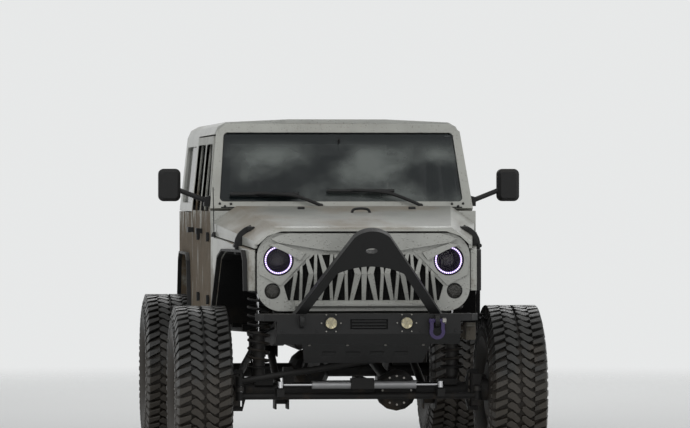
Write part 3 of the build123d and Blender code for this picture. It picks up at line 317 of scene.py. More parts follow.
class Look(Enum):
    """A choice of finishes."""

    @functools.cache
    def material(self) -> bpy.types.Material:
        """The finish's material, built at its first use."""
        return self.value.build()


class Coat(Look):
    """Every solid finish on the vehicle."""

    BODY = Finish("body_paint", PAINT, 0.40, Texture.RAIN, 0.70, 1.60, 0.72, coat=0.45)
    DOORS = Finish("door_paint", PAINT, 0.52, Texture.RAIN, 0.92, 2.05, 0.30, 0.12, coat=0.12)
    TOP = Finish("top_paint", (0.335, 0.340, 0.315), 0.44, Texture.RAIN, film=0.25, coat=0.30)
    NOSE = Finish("grille_paint", (0.300, 0.302, 0.278), 0.46, Texture.RAIN, 0.30, 1.25, 0.25, coat=0.25)
    STEEL = Finish("black_steel", (0.010, 0.010, 0.010), 0.38, Texture.GRAIN, 0.10, 0.95, 0.06, 0.22)
    CHASSIS = Finish("chassis_black", (0.011, 0.0105, 0.010), 0.50, Texture.CAST, 0.28, 0.80, 0.0, 0.18)
    SATIN = Finish("satin_steel", (0.28, 0.28, 0.285), 0.38, Texture.BRUSHED, metallic=1.0)
    CHROME = Finish("damper_rod", (0.50, 0.50, 0.51), 0.16, metallic=1.0)
    CAST = Finish("cast_metal", (0.030, 0.028, 0.026), 0.60, Texture.CAST, 0.32, 0.85, metallic=0.35)
    ALLOY = Finish("wheel_black", (0.014, 0.014, 0.015), 0.36, mud=0.28, mud_top=0.85, gleam=0.30, coat=0.08)
    TREAD = Finish("tread_rubber", (0.023, 0.0225, 0.021), 0.36, Texture.RUBBER, 0.16, 1.05, 0.0, 0.30)
    RUBBER = Finish("tyre_rubber", BLACK_RUBBER, 0.55, Texture.RUBBER, 0.14, 1.25, 0.0, 0.28)
    SPARE = Finish("spare_rubber", BLACK_RUBBER, 0.60, Texture.RUBBER, 0.12, 2.4, 0.0, 0.28)
    PLASTIC = Finish("black_plastic", (0.011, 0.011, 0.011), 0.50, Texture.GRAIN, 0.14, 1.25, 0.06, 0.22)
    LINER = Finish("arch_liner", (0.006, 0.006, 0.006), 0.85, Texture.CAST, 0.08, 1.30, 0.0, 0.12)
    TRIM = Finish("dark_trim", (0.022, 0.021, 0.020), 0.62, Texture.GRAIN)
    CLOTH = Finish("seat_cloth", (0.036, 0.036, 0.038), 0.92, Texture.WEAVE)
    SEAL = Finish("rubber_seal", (0.008, 0.008, 0.008), 0.66, Texture.RUBBER, gleam=0.25)
    BOLT = Finish("zinc_bolt", (0.27, 0.26, 0.24), 0.40, Texture.CAST, 0.20, 0.85, metallic=1.0)
    PURPLE = Finish(
        "shackle_purple", (0.022, 0.010, 0.064), 0.34, Texture.GRAIN, 0.10, 0.90, 0.0, 0.35, 0.10, 0.10,
    )
    # near-black: the printed frit round the glass, and painted shade in the grille opening and the skid
    # plate's slots
    FRIT_AND_SHADE = Finish("black_frit_and_painted_shade", (0.004, 0.004, 0.004), 0.80, Texture.GRAIN)


@dataclass(frozen=True)
class Glass:
    """Tinted glass or a lens: its colour, how much light it stops, its roughness, any film on it,
    the pitch of its ribs and the height above which it stays clean."""

    name: str
    colour: Point
    cover: float
    roughness: float = 0.03
    film: float = 0.0
    rib: float = 0.0
    clean: float = 9.0

    def build(self) -> bpy.types.Material:
        """The node material of this glass."""
        graph = Graph(self.name)
        x, _, z = graph.axes(graph.place)
        haze = graph.noise(1.6, 6.0, (1.0, 1.0, 1.7)).between(0.42, 0.64)
        haze = haze * (1.0 - z.between(self.clean - 0.12, self.clean))
        colour = graph.blend(haze * self.film, self.colour, (0.150, 0.165, 0.155))
        graph.settle(
            Base_Color=colour, Roughness=self.roughness + haze * (0.10 * self.film), IOR=1.5,
            Alpha=self.cover + haze * (0.18 * self.film), Coat_Weight=0.2, Coat_Roughness=0.02,
            Specular_IOR_Level=0.32,
        )
        if self.rib:
            graph.relief((x * (tau / self.rib)).sine(), 0.0012)
        return graph.material


class Pane(Look):
    """Every glass on the vehicle."""

    SCREEN = Glass("screen_glass", (0.010, 0.014, 0.015), 0.74, 0.03, 0.85, clean=2.00)
    SIDE = Glass("window_glass", (0.010, 0.013, 0.012), 0.66, 0.04, 0.30)
    LENS = Glass("lamp_lens", (0.022, 0.018, 0.032), 0.30, 0.04)
    SMOKE = Glass("smoked_lens", (0.050, 0.048, 0.042), 0.80, 0.12, 0.0, 0.006)
    CLEAR = Glass("spot_lens", (0.42, 0.38, 0.26), 0.55, 0.10, 0.0, 0.009)
    RED = Glass("red_lens", (0.30, 0.012, 0.012), 0.92, 0.10, 0.0, 0.008)


@dataclass(frozen=True)
class Glow:
    """A lit or mirror-like lamp part: its colour, its light and its metal."""

    name: str
    colour: Point
    light: Point
    strength: float
    metallic: float = 0.0
    roughness: float = 0.3

    def build(self) -> bpy.types.Material:
        """The node material of this lamp part."""
        graph = Graph(self.name)
        fleck = graph.noise(180.0, 2.0)
        graph.settle(Base_Color=graph.blend(fleck * 0.2, self.colour, tuple(c * 0.7 for c in self.colour)))
        graph.settle(Metallic=self.metallic, Roughness=self.roughness)
        graph.settle(Emission_Color=(*self.light, 1.0), Emission_Strength=self.strength)
        return graph.material


class Lamp(Look):
    """Lit and mirrored lamp parts."""

    HALO = Glow("halo_ring", (0.80, 0.76, 0.95), (0.80, 0.70, 1.0), 2.6)
    HALO_EDGE = Glow("halo_edge", (0.20, 0.10, 0.40), (0.30, 0.12, 0.80), 0.9)
    BOWL = Glow("lamp_bowl", (0.030, 0.022, 0.046), (0.0, 0.0, 0.0), 0.0, 0.8, 0.25)
    WARM_BOWL = Glow("spot_bowl", (0.62, 0.56, 0.38), (0.50, 0.42, 0.22), 0.10, 0.9, 0.22)
    BACK_MIRROR = Glow("mirror_face", (0.75, 0.77, 0.78), (0.0, 0.0, 0.0), 0.0, 1.0, 0.03)


# Shapes -----------------------------------------------------------------------------------------

SHARP = radians(34)


def eased(shape: BMesh, width: float, segments: int = 2, limit: float = SHARP) -> BMesh:
    """Rounds a shape's sharp outer and inner edges.

    Args:
        shape: the closed shape.
        width: how far each edge is cut back, in metres.
        segments: faces across the round.
        limit: the angle above which an edge is sharp.

    Returns:
        The same shape.
    """
    edges = [e for e in shape.edges if e.is_manifold and e.calc_face_angle(0.0) > limit]
    if width and edges:
        bmesh.ops.bevel(
            shape, geom=edges, offset=width, offset_type="OFFSET", segments=segments, profile=0.5,
            affect="EDGES", clamp_overlap=True, material=-1,
        )
    return shape


def brick(low: Sequence[float], high: Sequence[float], ease: float = 0.0) -> BMesh:
    """A box between two corners, with eased edges."""
    shape = bmesh.new()
    low, high = Vector(low), Vector(high)
    size = high - low
    place = Matrix.Translation((low + high) / 2) @ Matrix.Diagonal((*size, 1.0))
    bmesh.ops.create_cube(shape, size=1.0, matrix=place)
    return eased(shape, ease)


def towards(start: Sequence[float], end: Sequence[float]) -> Matrix:
    """Places a shape that stands on the Z axis at start, leaning towards end."""
    way = Vector(end) - Vector(start)
    return Matrix.Translation(start) @ way.to_track_quat("Z", "Y").to_matrix().to_4x4()


def bar(start: Sequence[float], end: Sequence[float], radius: float, sides: int = 20,
        tip: float | None = None, ease: float = 0.0) -> BMesh:
    """A round bar between two points, tapering to another radius where tip is given."""
    shape = bmesh.new()
    length = (Vector(end) - Vector(start)).length
    place = towards(start, end) @ Matrix.Translation((0, 0, length / 2))
    bmesh.ops.create_cone(
        shape, cap_ends=True, segments=sides, radius1=radius, radius2=radius if tip is None else tip,
        depth=length, matrix=place,
    )
    return eased(shape, ease)


def turned(profile: Iterable[Flat], steps: int) -> BMesh:
    """A profile of (radius, height) points spun round the Z axis."""
    shape = bmesh.new()
    verts = [shape.verts.new((r, 0.0, h)) for r, h in profile]
    edges = [shape.edges.new(pair) for pair in zip(verts, verts[1:])]
    bmesh.ops.spin(
        shape, geom=verts + edges, cent=(0, 0, 0), axis=(0, 0, 1), angle=tau, steps=steps,
        use_merge=True, use_duplicate=False,
    )
    bmesh.ops.remove_doubles(shape, verts=shape.verts, dist=1e-6)
    bmesh.ops.recalc_face_normals(shape, faces=shape.faces)
    return shape


def _raised(shape: BMesh, depth: float) -> BMesh:
    """Pulls a flat shape's faces up along Z into a closed solid."""
    grown = bmesh.ops.extrude_face_region(shape, geom=list(shape.faces))
    lifted = [v for v in grown["geom"] if isinstance(v, bmesh.types.BMVert)]
    bmesh.ops.translate(shape, verts=lifted, vec=(0, 0, depth))
    bmesh.ops.recalc_face_normals(shape, faces=shape.faces)
    return shape


def prism(outline: Iterable[Flat], depth: float, ease: float = 0.0, segments: int = 2) -> BMesh:
    """An outline in the XY plane raised along Z, with eased edges."""
    shape = bmesh.new()
    shape.faces.new([shape.verts.new((x, y, 0.0)) for x, y in outline])
    return eased(_raised(shape, depth), ease, segments)


def hoop(outline: Outline, width: float, depth: float) -> BMesh:
    """A flat band that follows a closed outline inwards, raised along Z."""
    shape = bmesh.new()
    face = shape.faces.new([shape.verts.new((x, y, 0.0)) for x, y in outline])
    bmesh.ops.inset_region(shape, faces=[face], thickness=width, use_even_offset=True, use_boundary=True)
    bmesh.ops.delete(shape, geom=[face], context="FACES_ONLY")
    return _raised(shape, depth)


def ring(radius: float, wire: float, steps: int, sides: int) -> BMesh:
    """A torus about the Z axis."""
    turns = (tau * k / sides for k in range(sides + 1))
    return turned([(radius + wire * cos(a), wire * sin(a)) for a in turns], steps)


def wire_path(points: Sequence[Point], radius: float) -> BMesh:
    """A thin round bar that follows points."""
    curve = bpy.data.curves.new("path", "CURVE")
    curve.dimensions = "3D"
    spline = curve.splines.new("NURBS")
    spline.points.add(len(points) - 1)
    for knot, point in zip(spline.points, points):
        knot.co = (*point, 1.0)
    spline.order_u = 3
    spline.use_endpoint_u = True
    curve.bevel_depth = radius
    curve.bevel_resolution = 2
    curve.resolution_u = 6
    curve.use_fill_caps = True
    holder = bpy.data.objects.new("path", curve)
    shape = bmesh.new()
    shape.from_mesh(holder.to_mesh())
    holder.to_mesh_clear()
    bpy.data.objects.remove(holder)
    bmesh.ops.remove_doubles(shape, verts=shape.verts, dist=1e-6)
    return shape


def facing_front(y: float, x: float = 0.0, z: float = 0.0) -> Matrix:
    """Turns a flat shape to be seen from the front: its X stays, its Y is up, and it grows forwards."""
    return Matrix.Translation((x, y, z)) @ Matrix.Rotation(pi / 2, 4, "X")


def merge(whole: BMesh, shape: BMesh) -> None:
    """Adds a copy of a shape to a larger one."""
    holder = bpy.data.meshes.new("part")
    shape.to_mesh(holder)
    whole.from_mesh(holder)
    bpy.data.meshes.remove(holder)


def placed(name: str, data: bpy.types.ID) -> bpy.types.Object:
    """A new object in the scene."""
    thing = bpy.data.objects.new(name, data)
    bpy.context.scene.collection.objects.link(thing)
    return thing


TWIN = Matrix.Diagonal((-1, 1, 1, 1))


class Piece:
    """One object of the scene: a mesh that grows shape by shape, each in its own finish."""

    def __init__(self, name: str, body: str, slot: str, sharp: float = SHARP) -> None:
        """Starts an empty piece that rides on a body; folds above the sharp angle stay crisp."""
        self.name, self.body, self.slot, self.sharp = name, body, slot, sharp
        self.mesh = bmesh.new()
        self.skins: list[Look] = []

    def add(self, shape: BMesh, skin: Look, place: Matrix | None = None, twin: bool = False) -> "Piece":
        """Adds a shape.

        Args:
            shape: the shape, which is used up.
            skin: its finish.
            place: where it goes.
            twin: whether its mirror image on the vehicle's other side is added too.

        Returns:
            The piece.
        """
        if skin not in self.skins:
            self.skins.append(skin)
        if place is not None:
            shape.transform(place)
        for face in shape.faces:
            face.material_index = self.skins.index(skin)
        merge(self.mesh, shape)
        if twin:
            shape.transform(TWIN)
            bmesh.ops.reverse_faces(shape, faces=shape.faces)
            merge(self.mesh, shape)
        shape.free()
        return self

    def done(self, *replaced: str) -> bpy.types.Object:
        """Makes the object, dresses it and binds it to its body.

        Args:
            replaced: the CAD nodes that it stands for.

        Returns:
            The finished object.
        """
        for face in self.mesh.faces:
            face.smooth = True
        for edge in self.mesh.edges:
            edge.smooth = edge.is_manifold and edge.calc_face_angle(0.0) < self.sharp
        data = bpy.data.meshes.new(self.name)
        self.mesh.to_mesh(data)
        self.mesh.free()
        thing = placed(self.name, data)
        for skin in self.skins:
            data.materials.append(skin.material())
        weighted = thing.modifiers.new("even_shading", "WEIGHTED_NORMAL")
        weighted.keep_sharp = True
        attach(thing, self.body)
        if replaced:
            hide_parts(*replaced)
        log.info("%s: %d faces on %s", self.name, len(data.polygons), self.body)
        return thing


def body_of(node: str) -> str:
    """The body that carries a node."""
    bodies = frame["record"]["behaviour"]["bodies"]
    return next(name for name, nodes in bodies.items() if node in nodes)


def slot_of(node: str) -> str:
    """The material slot of a node."""
    return next(row["material_slot"] for row in frame["record"]["subparts"] if row["node"] == node)


def softened(node: str, skin: Look, width: float, segments: int = 2, sharp: float = SHARP,
             trim: tuple[Look, Callable[[Vector], bool]] | None = None) -> bpy.types.Object:
    """A copy of a CAD piece with its sharp edges rounded, which stands for it.

    Args:
        node: the CAD node.
        skin: its finish.
        width: how far each edge is cut back, in metres.
        segments: faces across each round.
        sharp: the angle above which an edge is rounded.
        trim: another finish, and a test of a face's middle that says where it goes.

    Returns:
        The finished object.
    """
    shape = bmesh.new()
    shape.from_mesh(frame["nodes"][node].data)
    bmesh.ops.remove_doubles(shape, verts=shape.verts, dist=2e-5)
    bmesh.ops.dissolve_limit(shape, angle_limit=radians(0.6), verts=shape.verts, edges=shape.edges)
    eased(shape, width, segments, sharp)
    piece = Piece(f"{node}_panel", body_of(node), slot_of(node), sharp)
    if trim is None:
        return piece.add(shape, skin).done(node)
    second, inside = trim
    rest = shape.copy()
    for part, wanted, finish in ((shape, False, skin), (rest, True, second)):
        other = [f for f in part.faces if inside(f.calc_center_median()) != wanted]
        bmesh.ops.delete(part, geom=other, context="FACES")
        piece.add(part, finish)
    return piece.done(node)


def painted(node: str, skin: Look) -> None:
    """Gives a CAD node that stays its finish."""
    data = frame["nodes"][node].data
    data.materials.clear()
    data.materials.append(skin.material())


# Running gear -----------------------------------------------------------------------------------


@dataclass
class MudTyre:
    """A mud-terrain tyre: carcass, slanted shoulder lugs, hooked centre blocks and sidewall ribs."""

    radius: float = AXLE_Z
    floor: float = 0.472
    pitches: int = 54
    steps: int = 80
    # the carcass on one side of the middle plane: distance from that plane, radius
    wall: Outline = (
        (0.000, 0.474), (0.096, 0.472), (0.142, 0.462), (0.158, 0.432), (0.1655, 0.400), (0.1670, 0.352),
        (0.1688, 0.348), (0.1688, 0.341), (0.1665, 0.337), (0.1655, 0.322), (0.1672, 0.319), (0.1672, 0.314),
        (0.1645, 0.310), (0.160, 0.290), (0.140, 0.248), (0.122, 0.232), (0.120, 0.2185), (0.000, 0.2185),
    )
    # shoulder lugs, seen along the wheel (distance from the middle plane, radius), each with the
    # width of the rib on the sidewall below it
    lugs: Sequence[tuple[Outline, float]] = (
        (((0.079, 0.497), (0.149, 0.497), (0.166, 0.436), (0.156, 0.425), (0.079, 0.466)), 0.030),
        (((0.079, 0.497), (0.149, 0.497), (0.163, 0.452), (0.150, 0.440), (0.079, 0.466)), 0.016),
    )
    lug_width: float = 0.041
    # a lug slants about the middle of its foot, and narrows inwards from its outer end
    lug_slant: float = 0.40
    lug_middle: float = 0.114
    lug_taper: float = 5.0
    lug_end: float = 0.149
    # how far round the wheel the lugs stand from the blocks, in pitches
    lug_shift: float = -0.43
    # a centre block in the tread's plane: distance from the middle plane, way round the wheel
    block: Outline = (
        (0.003, 0.011), (0.008, 0.033), (0.028, 0.034), (0.048, 0.014), (0.080, -0.002), (0.084, -0.019),
        (0.056, -0.036), (0.028, -0.017),
    )
    # sidewall ribs, seen along the wheel
    rib: Outline = ((0.160, 0.418), (0.1695, 0.414), (0.1705, 0.372), (0.160, 0.360))

    def _wrapped(self, shape: BMesh, turn: float) -> BMesh:
        """Rolls a flat shape round the wheel: its y becomes the way round, its z the radius."""
        for vert in shape.verts:
            x, way, r = vert.co
            angle = way / self.radius + turn
            vert.co = (x, r * sin(angle), r * cos(angle))
        return shape

    def _block(self, side: int, turn: float) -> BMesh:
        """One centre block on one side."""
        outline = [(side * x, side * way) for x, way in self.block]
        shape = prism(outline, self.radius - self.floor, 0.0024, 1)
        bmesh.ops.translate(shape, verts=shape.verts, vec=(0, 0, self.floor))
        return self._wrapped(shape, turn)

    def _lug(self, outline: Outline, width: float, side: int, turn: float, ease: float) -> BMesh:
        """One shoulder lug or sidewall rib on one side, slanting and narrower towards the middle."""
        shape = prism([(side * x, r) for x, r in outline], width, ease, 1)
        shape.transform(Matrix(((1, 0, 0, 0), (0, 0, 1, -width / 2), (0, 1, 0, 0), (0, 0, 0, 1))))
        for vert in shape.verts:
            vert.co.y *= 1.0 - self.lug_taper * max(0.0, self.lug_end - abs(vert.co.x))
            vert.co.y += self.lug_slant * (vert.co.x - side * self.lug_middle)
        bmesh.ops.recalc_face_normals(shape, faces=shape.faces)
        return self._wrapped(shape, turn)

    def carcass(self) -> BMesh:
        """The smooth tyre about the X axis, its middle plane at the origin."""
        half = list(self.wall)
        loop = [(r, x) for x, r in half] + [(r, -x) for x, r in reversed(half[1:-1])] + [(half[0][1], 0.0)]
        whole = turned(loop, self.steps)
        whole.transform(Matrix.Rotation(pi / 2, 4, "Y"))
        return whole

    def tread(self) -> BMesh:
        """The lugs, blocks and ribs round the whole tyre."""
        pitch = tau / self.pitches
        sector = bmesh.new()
        for side in (-1, 1):
            start = pitch / 2 if side > 0 else 0.0
            for number, (lug, rib_width) in enumerate(self.lugs):
                turn = start + pitch * number
                lean = turn + side * pitch * self.lug_shift
                for shape in (
                    self._block(side, turn), self._lug(lug, self.lug_width, side, lean, 0.003),
                    self._lug(self.rib, rib_width, side, lean, 0.002),
                ):
                    merge(sector, shape)
                    shape.free()
        repeats = self.pitches // 2
        bmesh.ops.spin(
            sector, geom=[*sector.verts, *sector.edges, *sector.faces], cent=(0, 0, 0), axis=(1, 0, 0),
            angle=tau * (repeats - 1) / repeats, steps=repeats - 1, use_duplicate=True,
        )
        return sector


def around(count: int, radius: float, height: float = 0.0) -> list[Vector]:
    """Evenly spaced places on a circle about the Z axis."""
    turns = (tau * k / count for k in range(count))
    return [Vector((radius * cos(a), radius * sin(a), height)) for a in turns]


@dataclass
class Wheels:
    """Four wheels and the spare: tyres, rims with their clamp rings, bolts and nuts."""

    tyre: MudTyre = field(default_factory=MudTyre)
    # how far out they stand, how far from the wheel's axis, and how many
    clamp_bolts: tuple[float, float, int] = (0.132, 0.193, 24)
    nuts: tuple[float, float, int] = (0.063, 0.0635, 5)
    # length, radius, radius at the tip, eased edge
    clamp_bolt: Sequence[float] = (0.006, 0.0075, 0.0075, 0.001)
    nut: Sequence[float] = (0.026, 0.0105, 0.0095, 0.0015)
    # the clamp ring: radius, distance out
    lip: Outline = (
        (0.2045, 0.128), (0.2165, 0.128), (0.2165, 0.1318), (0.2045, 0.1318), (0.2045, 0.128),
    )

    def _places(self) -> list[tuple[str, Coat, Matrix]]:
        """Name, finish and place of each wheel, its outer face along the local +X."""
        rows = []
        for name in CORNERS:
            left = name.endswith("left")
            y = FRONT_AXLE if name.startswith("front") else REAR_AXLE
            at = Matrix.Translation((WHEEL_X if left else -WHEEL_X, y, AXLE_Z))
            rows.append((name, Coat.RUBBER, at @ Matrix.Rotation(0 if left else pi, 4, "Z")))
        spare = Matrix.Translation(middle("spare_tyre")) @ Matrix.Rotation(pi / 2, 4, "Z")
        return rows + [("spare", Coat.SPARE, spare)]

    def build(self) -> None:
        """Builds the five wheels."""
        carcass, tread = self.tyre.carcass(), self.tyre.tread()
        for name, skin, place in self._places():
            tyre_node = "spare_tyre" if name == "spare" else f"tyre_{name}"
            rim_node = "spare_rim" if name == "spare" else f"rim_{name}"
            piece = Piece(f"{tyre_node}_tread", body_of(tyre_node), "tyre_rubber")
            piece.add(carcass.copy(), skin, place).add(tread.copy(), Coat.TREAD, place).done(tyre_node)
            softened(rim_node, Coat.ALLOY, 0.0022)
            self._hardware(name, body_of(rim_node), place)
        carcass.free()
        tread.free()

    def _hardware(self, name: str, body: str, place: Matrix) -> None:
        """The clamp ring with its bolts, and the wheel nuts."""
        piece = Piece(f"wheel_hardware_{name}", body, "satin_steel")
        for (out, reach, count), (length, r, tip, ease) in (
            (self.clamp_bolts, self.clamp_bolt), (self.nuts, self.nut),
        ):
            for spot in around(count, reach):
                at = Vector((out, spot.x, spot.y))
                piece.add(bar(at, at + Vector((length, 0, 0)), r, 6, tip, ease), Coat.BOLT, place)
        piece.add(turned(self.lip, 60), Coat.ALLOY, place @ Matrix.Rotation(pi / 2, 4, "Y"))
        piece.done()


@dataclass
class Springs:
    """Coilovers: a damper body and rod inside a true coil, between two seats."""

    coil_r: float = 0.061
    wire: float = 0.0075
    # x, y, foot height, top height, turns of the coil
    places: Sequence[tuple[float, float, float, float, int]] = (
        (0.572, FRONT_AXLE, 0.5635, 1.1215, 9), (0.600, REAR_AXLE, 0.5615, 0.9635, 7),
    )
    # the damper's body: radius, height above its foot
    body: Outline = (
        (0.0, 0.0), (0.024, 0.0), (0.036, 0.02), (0.036, 0.27), (0.031, 0.28), (0.0, 0.28),
    )

    def _coil(self, low: float, high: float, turns: int) -> BMesh:
        """A coil spring between two heights, by a spin that climbs."""
        shape = bmesh.new()
        steps = 22 * turns
        made = bmesh.ops.create_circle(
            shape, cap_ends=False, segments=8, radius=self.wire,
            matrix=Matrix.Translation((self.coil_r, 0, low + self.wire)) @ Matrix.Rotation(pi / 2, 4, "X"),
        )
        edges = list({e for v in made["verts"] for e in v.link_edges})
        bmesh.ops.spin(
            shape, geom=made["verts"] + edges, cent=(0, 0, 0), axis=(0, 0, 1), angle=tau * turns,
            steps=steps, dvec=(0, 0, (high - low - 2 * self.wire) / steps), use_merge=False,
            use_duplicate=False,
        )
        bmesh.ops.holes_fill(shape, edges=[e for e in shape.edges if e.is_boundary], sides=0)
        bmesh.ops.recalc_face_normals(shape, faces=shape.faces)
        return shape

    def build(self) -> None:
        """Builds the four coilovers as one piece."""
        piece = Piece("coil_springs", "chassis", "chassis_black")
        for x, y, foot, top, turns in self.places:
            at = Matrix.Translation((x, y, 0))
            high = top - 0.030
            piece.add(self._coil(foot + 0.075, high, turns), Coat.PLASTIC, at, True)
            for z, lift in ((foot + 0.060, 0.015), (high, 0.016)):
                rim = z + lift
                seat = [(0.0, z), (0.068, z), (0.071, z + 0.004), (0.071, rim - 0.004), (0.066, rim)]
                piece.add(turned([*seat, (0.0, rim)], 32), Coat.CHASSIS, at, True)
            body = [(r, min(foot + z, top - 0.12)) for r, z in self.body]
            piece.add(turned(body, 24), Coat.CAST, at, True)
            piece.add(bar((0, 0, foot + 0.2), (0, 0, top), 0.011, 16), Coat.CHROME, at, True)
            eye = [(0.0, top - 0.05), (0.024, top - 0.05), (0.028, top), (0.0, top)]
            piece.add(turned(eye, 20), Coat.SEAL, at, True)
        piece.done("coilovers")


@dataclass
class Underside:
    """Axles, links, frame and steering in their finishes, with hoses and cover screws."""

    # each axle's round cover: x, y, which way it faces
    covers: Sequence[Point] = ((0.235, FRONT_AXLE - 0.0965, -1), (0.0, REAR_AXLE + 0.0965, 1))
    screws_r: float = 0.098 * 0.86
    # where the dampers' bracket starts and ends across the vehicle
    bracket: Flat = (-0.0605, 0.0785)
    # a brake hose's run: distance from the middle, distance behind the front axle, height
    hose: Sequence[Point] = (
        (0.462, 0.16, 0.86), (0.52, 0.17, 0.84), (0.60, 0.15, 0.76), (0.61, 0.09, 0.66), (0.60, 0.03, 0.56),
        (0.59, 0.01, 0.535),
    )

    def build(self) -> None:
        """Dresses the CAD pieces under the body and adds their hardware."""
        for node in ("frame", "control_arms", "front_axle", "rear_axle"):
            softened(node, Coat.CHASSIS, 0.003, 1)
        for node in ("tie_rod", "drag_link", "driveshafts"):
            painted(node, Coat.CHASSIS)
        for node in ("powertrain", "pitman_arm", "knuckle_left", "knuckle_right", "fuel_tank"):
            softened(node, Coat.CAST, 0.004)
        painted("exhaust", Coat.CAST)
        painted("damper_rods", Coat.CHROME)
        line = middle("damper_rods")
        softened("dampers", Coat.SATIN, 0.003, trim=(Coat.CHASSIS, lambda at: self._off_damper(at, line)))
        screws = Piece("axle_screws", "chassis", "satin_steel")
        for x, y, ahead in self.covers:
            for spot in around(12, self.screws_r):
                at = Vector((x + spot.x, y - ahead * 0.012, AXLE_Z + spot.y))
                screws.add(bar(at, at + Vector((0, ahead * 0.018, 0)), 0.007, 6, None, 0.001), Coat.BOLT)
        screws.done()
        hoses = Piece("brake_hoses", "chassis", "black_plastic")
        for side in (-1, 1):
            hoses.add(wire_path([(side * x, rearward(y), z) for x, y, z in self.hose], 0.0065), Coat.SEAL)
        hoses.done()

    def _off_damper(self, at: Vector, line: Vector) -> bool:
        """Whether a place belongs to the dampers' bracket and not to their bodies."""
        return self.bracket[0] < at.x < self.bracket[1] or (at - line).yz.length > 0.0265


# Nose -------------------------------------------------------------------------------------------


@dataclass
class Lamps:
    """Headlamps with a lit ring, turn signals, bumper spots and tail lamps."""

    # each lamp: distance from the middle and height, then how far behind the front axle
    lamp_at: Flat = (0.496, 1.268)
    lamp_y: float = -0.466
    lamp_r: float = 0.0865
    halo_r: float = 0.0745
    bead_r: float = 0.0050
    beads: int = 40
    signal_at: Flat = (0.531, 1.090)
    signal_y: float = -0.470
    signal_r: float = 0.0440
    # heights of the ribs across a signal's lens
    signal_ribs: Sequence[float] = (0.012, -0.012, 0.024, -0.024, 0.0)
    spot_at: Flat = (0.218, 0.913)
    spot_y: float = -0.760
    spot_r: float = 0.0375
    spot_bolts_r: float = 0.0555
    # a tail lamp's housing across the vehicle
    tail_x: Flat = (0.630, 0.750)

    @staticmethod
    def _spin(piece: Piece, place: Matrix, *rows: tuple[Outline, int, Look]) -> None:
        """Adds turned shapes on both sides, each from its profile, its steps and its finish."""
        for profile, steps, skin in rows:
            piece.add(turned(profile, steps), skin, place, True)

    def build(self) -> None:
        """Builds all lamps."""
        piece = Piece("headlamp_units", "chassis", "lamp_lens")
        place = facing_front(rearward(self.lamp_y), *self.lamp_at)
        r = self.lamp_r
        bowl = [(0.0, -0.056), (0.030, -0.056), (0.052, -0.030), (0.068, -0.008), (r, -0.006), (r, -0.058)]
        rim = [(r - 0.006, -0.006), (r, -0.006), (r, 0.001), (r - 0.002, 0.003), (r - 0.007, 0.000)]
        eye = [(0.036 * sin(a), -0.036 + 0.026 * cos(a)) for a in (0.35, 0.7, 1.05, 1.4)]
        collar = [(0.037, -0.040), (0.043, -0.026), (0.046, -0.040), (0.037, -0.040)]
        self._spin(
            piece, place, ([*bowl, (0.0, -0.058)], 56, Lamp.BOWL), ([*rim, rim[0]], 56, Coat.PLASTIC),
            ([(0.0, -0.010), *eye, (0.037, -0.052), (0.0, -0.052)], 40, Pane.SMOKE), (collar, 40, Lamp.BOWL),
        )
        ring_place = place @ Matrix.Translation((0, 0, -0.006))
        piece.add(ring(self.halo_r, self.bead_r, 72, 8), Lamp.HALO_EDGE, ring_place, True)
        for at in around(self.beads, self.halo_r, 0.0036):
            bead = bmesh.new()
            spot = Matrix.Translation(at)
            bmesh.ops.create_icosphere(bead, subdivisions=1, radius=self.bead_r, matrix=spot)
            piece.add(bead, Lamp.HALO, ring_place, True)
        dome = [(r * 0.93 * sin(a), 0.009 - 0.009 * (1 - cos(a)) * 1.2) for a in (0.4, 0.8, 1.2, 1.5)]
        self._spin(piece, place, ([(0.0, 0.009), *dome], 56, Pane.LENS))
        self._signals(piece)
        piece.done("headlamps")
        self._spots()
        self._tail()

    def _signals(self, piece: Piece) -> None:
        """Ribbed, smoked turn signals in a thin black bezel."""
        place = facing_front(rearward(self.signal_y), *self.signal_at)
        r, inner = self.signal_r, 0.0395
        lens = [(0.0, 0.002), (0.020, 0.0015), (0.034, 0.0), (inner, -0.004), (inner, -0.036), (0.0, -0.036)]
        bezel = [(inner, -0.006), (0.0405, 0.001), (r, 0.001), (r, -0.030), (inner, -0.030), (inner, -0.006)]
        self._spin(piece, place, (lens, 40, Pane.SMOKE), (bezel, 40, Coat.PLASTIC))
        for z in self.signal_ribs:
            reach = (0.036**2 - z**2) ** 0.5
            rib = brick((-reach, z - 0.0012, 0.0005), (reach, z + 0.0012, 0.0028), 0.0005)
            piece.add(rib, Pane.SMOKE, place, True)

    def _spots(self) -> None:
        """Round spot lamps let into the bumper, each with six bolts."""
        piece = Piece("spot_lamp_units", "chassis", "lamp_lens")
        place = facing_front(rearward(self.spot_y), *self.spot_at)
        r, inner = self.spot_r, self.spot_r - 0.005
        rim = [(r, 0.0), (r, 0.014), (r - 0.004, 0.0155), (r - 0.006, 0.012), (r - 0.006, 0.0), (r, 0.0)]
        bowl = [(0.0, 0.002), (0.012, 0.003), (0.026, 0.008), (inner, 0.0125), (inner, 0.0), (0.0, 0.0)]
        lens = [(0.0, 0.0155), (0.016, 0.0152), (inner, 0.0132)]
        self._spin(piece, place, (rim, 40, Coat.STEEL), (bowl, 40, Lamp.WARM_BOWL), (lens, 40, Pane.CLEAR))
        for k in range(3):
            blade = brick((-0.0012, -r + 0.006, 0.0125), (0.0012, r - 0.006, 0.0148), 0.0005)
            piece.add(blade, Coat.BOLT, place @ Matrix.Rotation(pi * k / 3 + 0.4, 4, "Z"), True)
        for at in around(6, self.spot_bolts_r, -0.001):
            piece.add(bar(at, at + Vector((0, 0, 0.007)), 0.0052, 12, 0.0040, 0.001), Coat.BOLT, place, True)
        piece.done("spot_lamps")

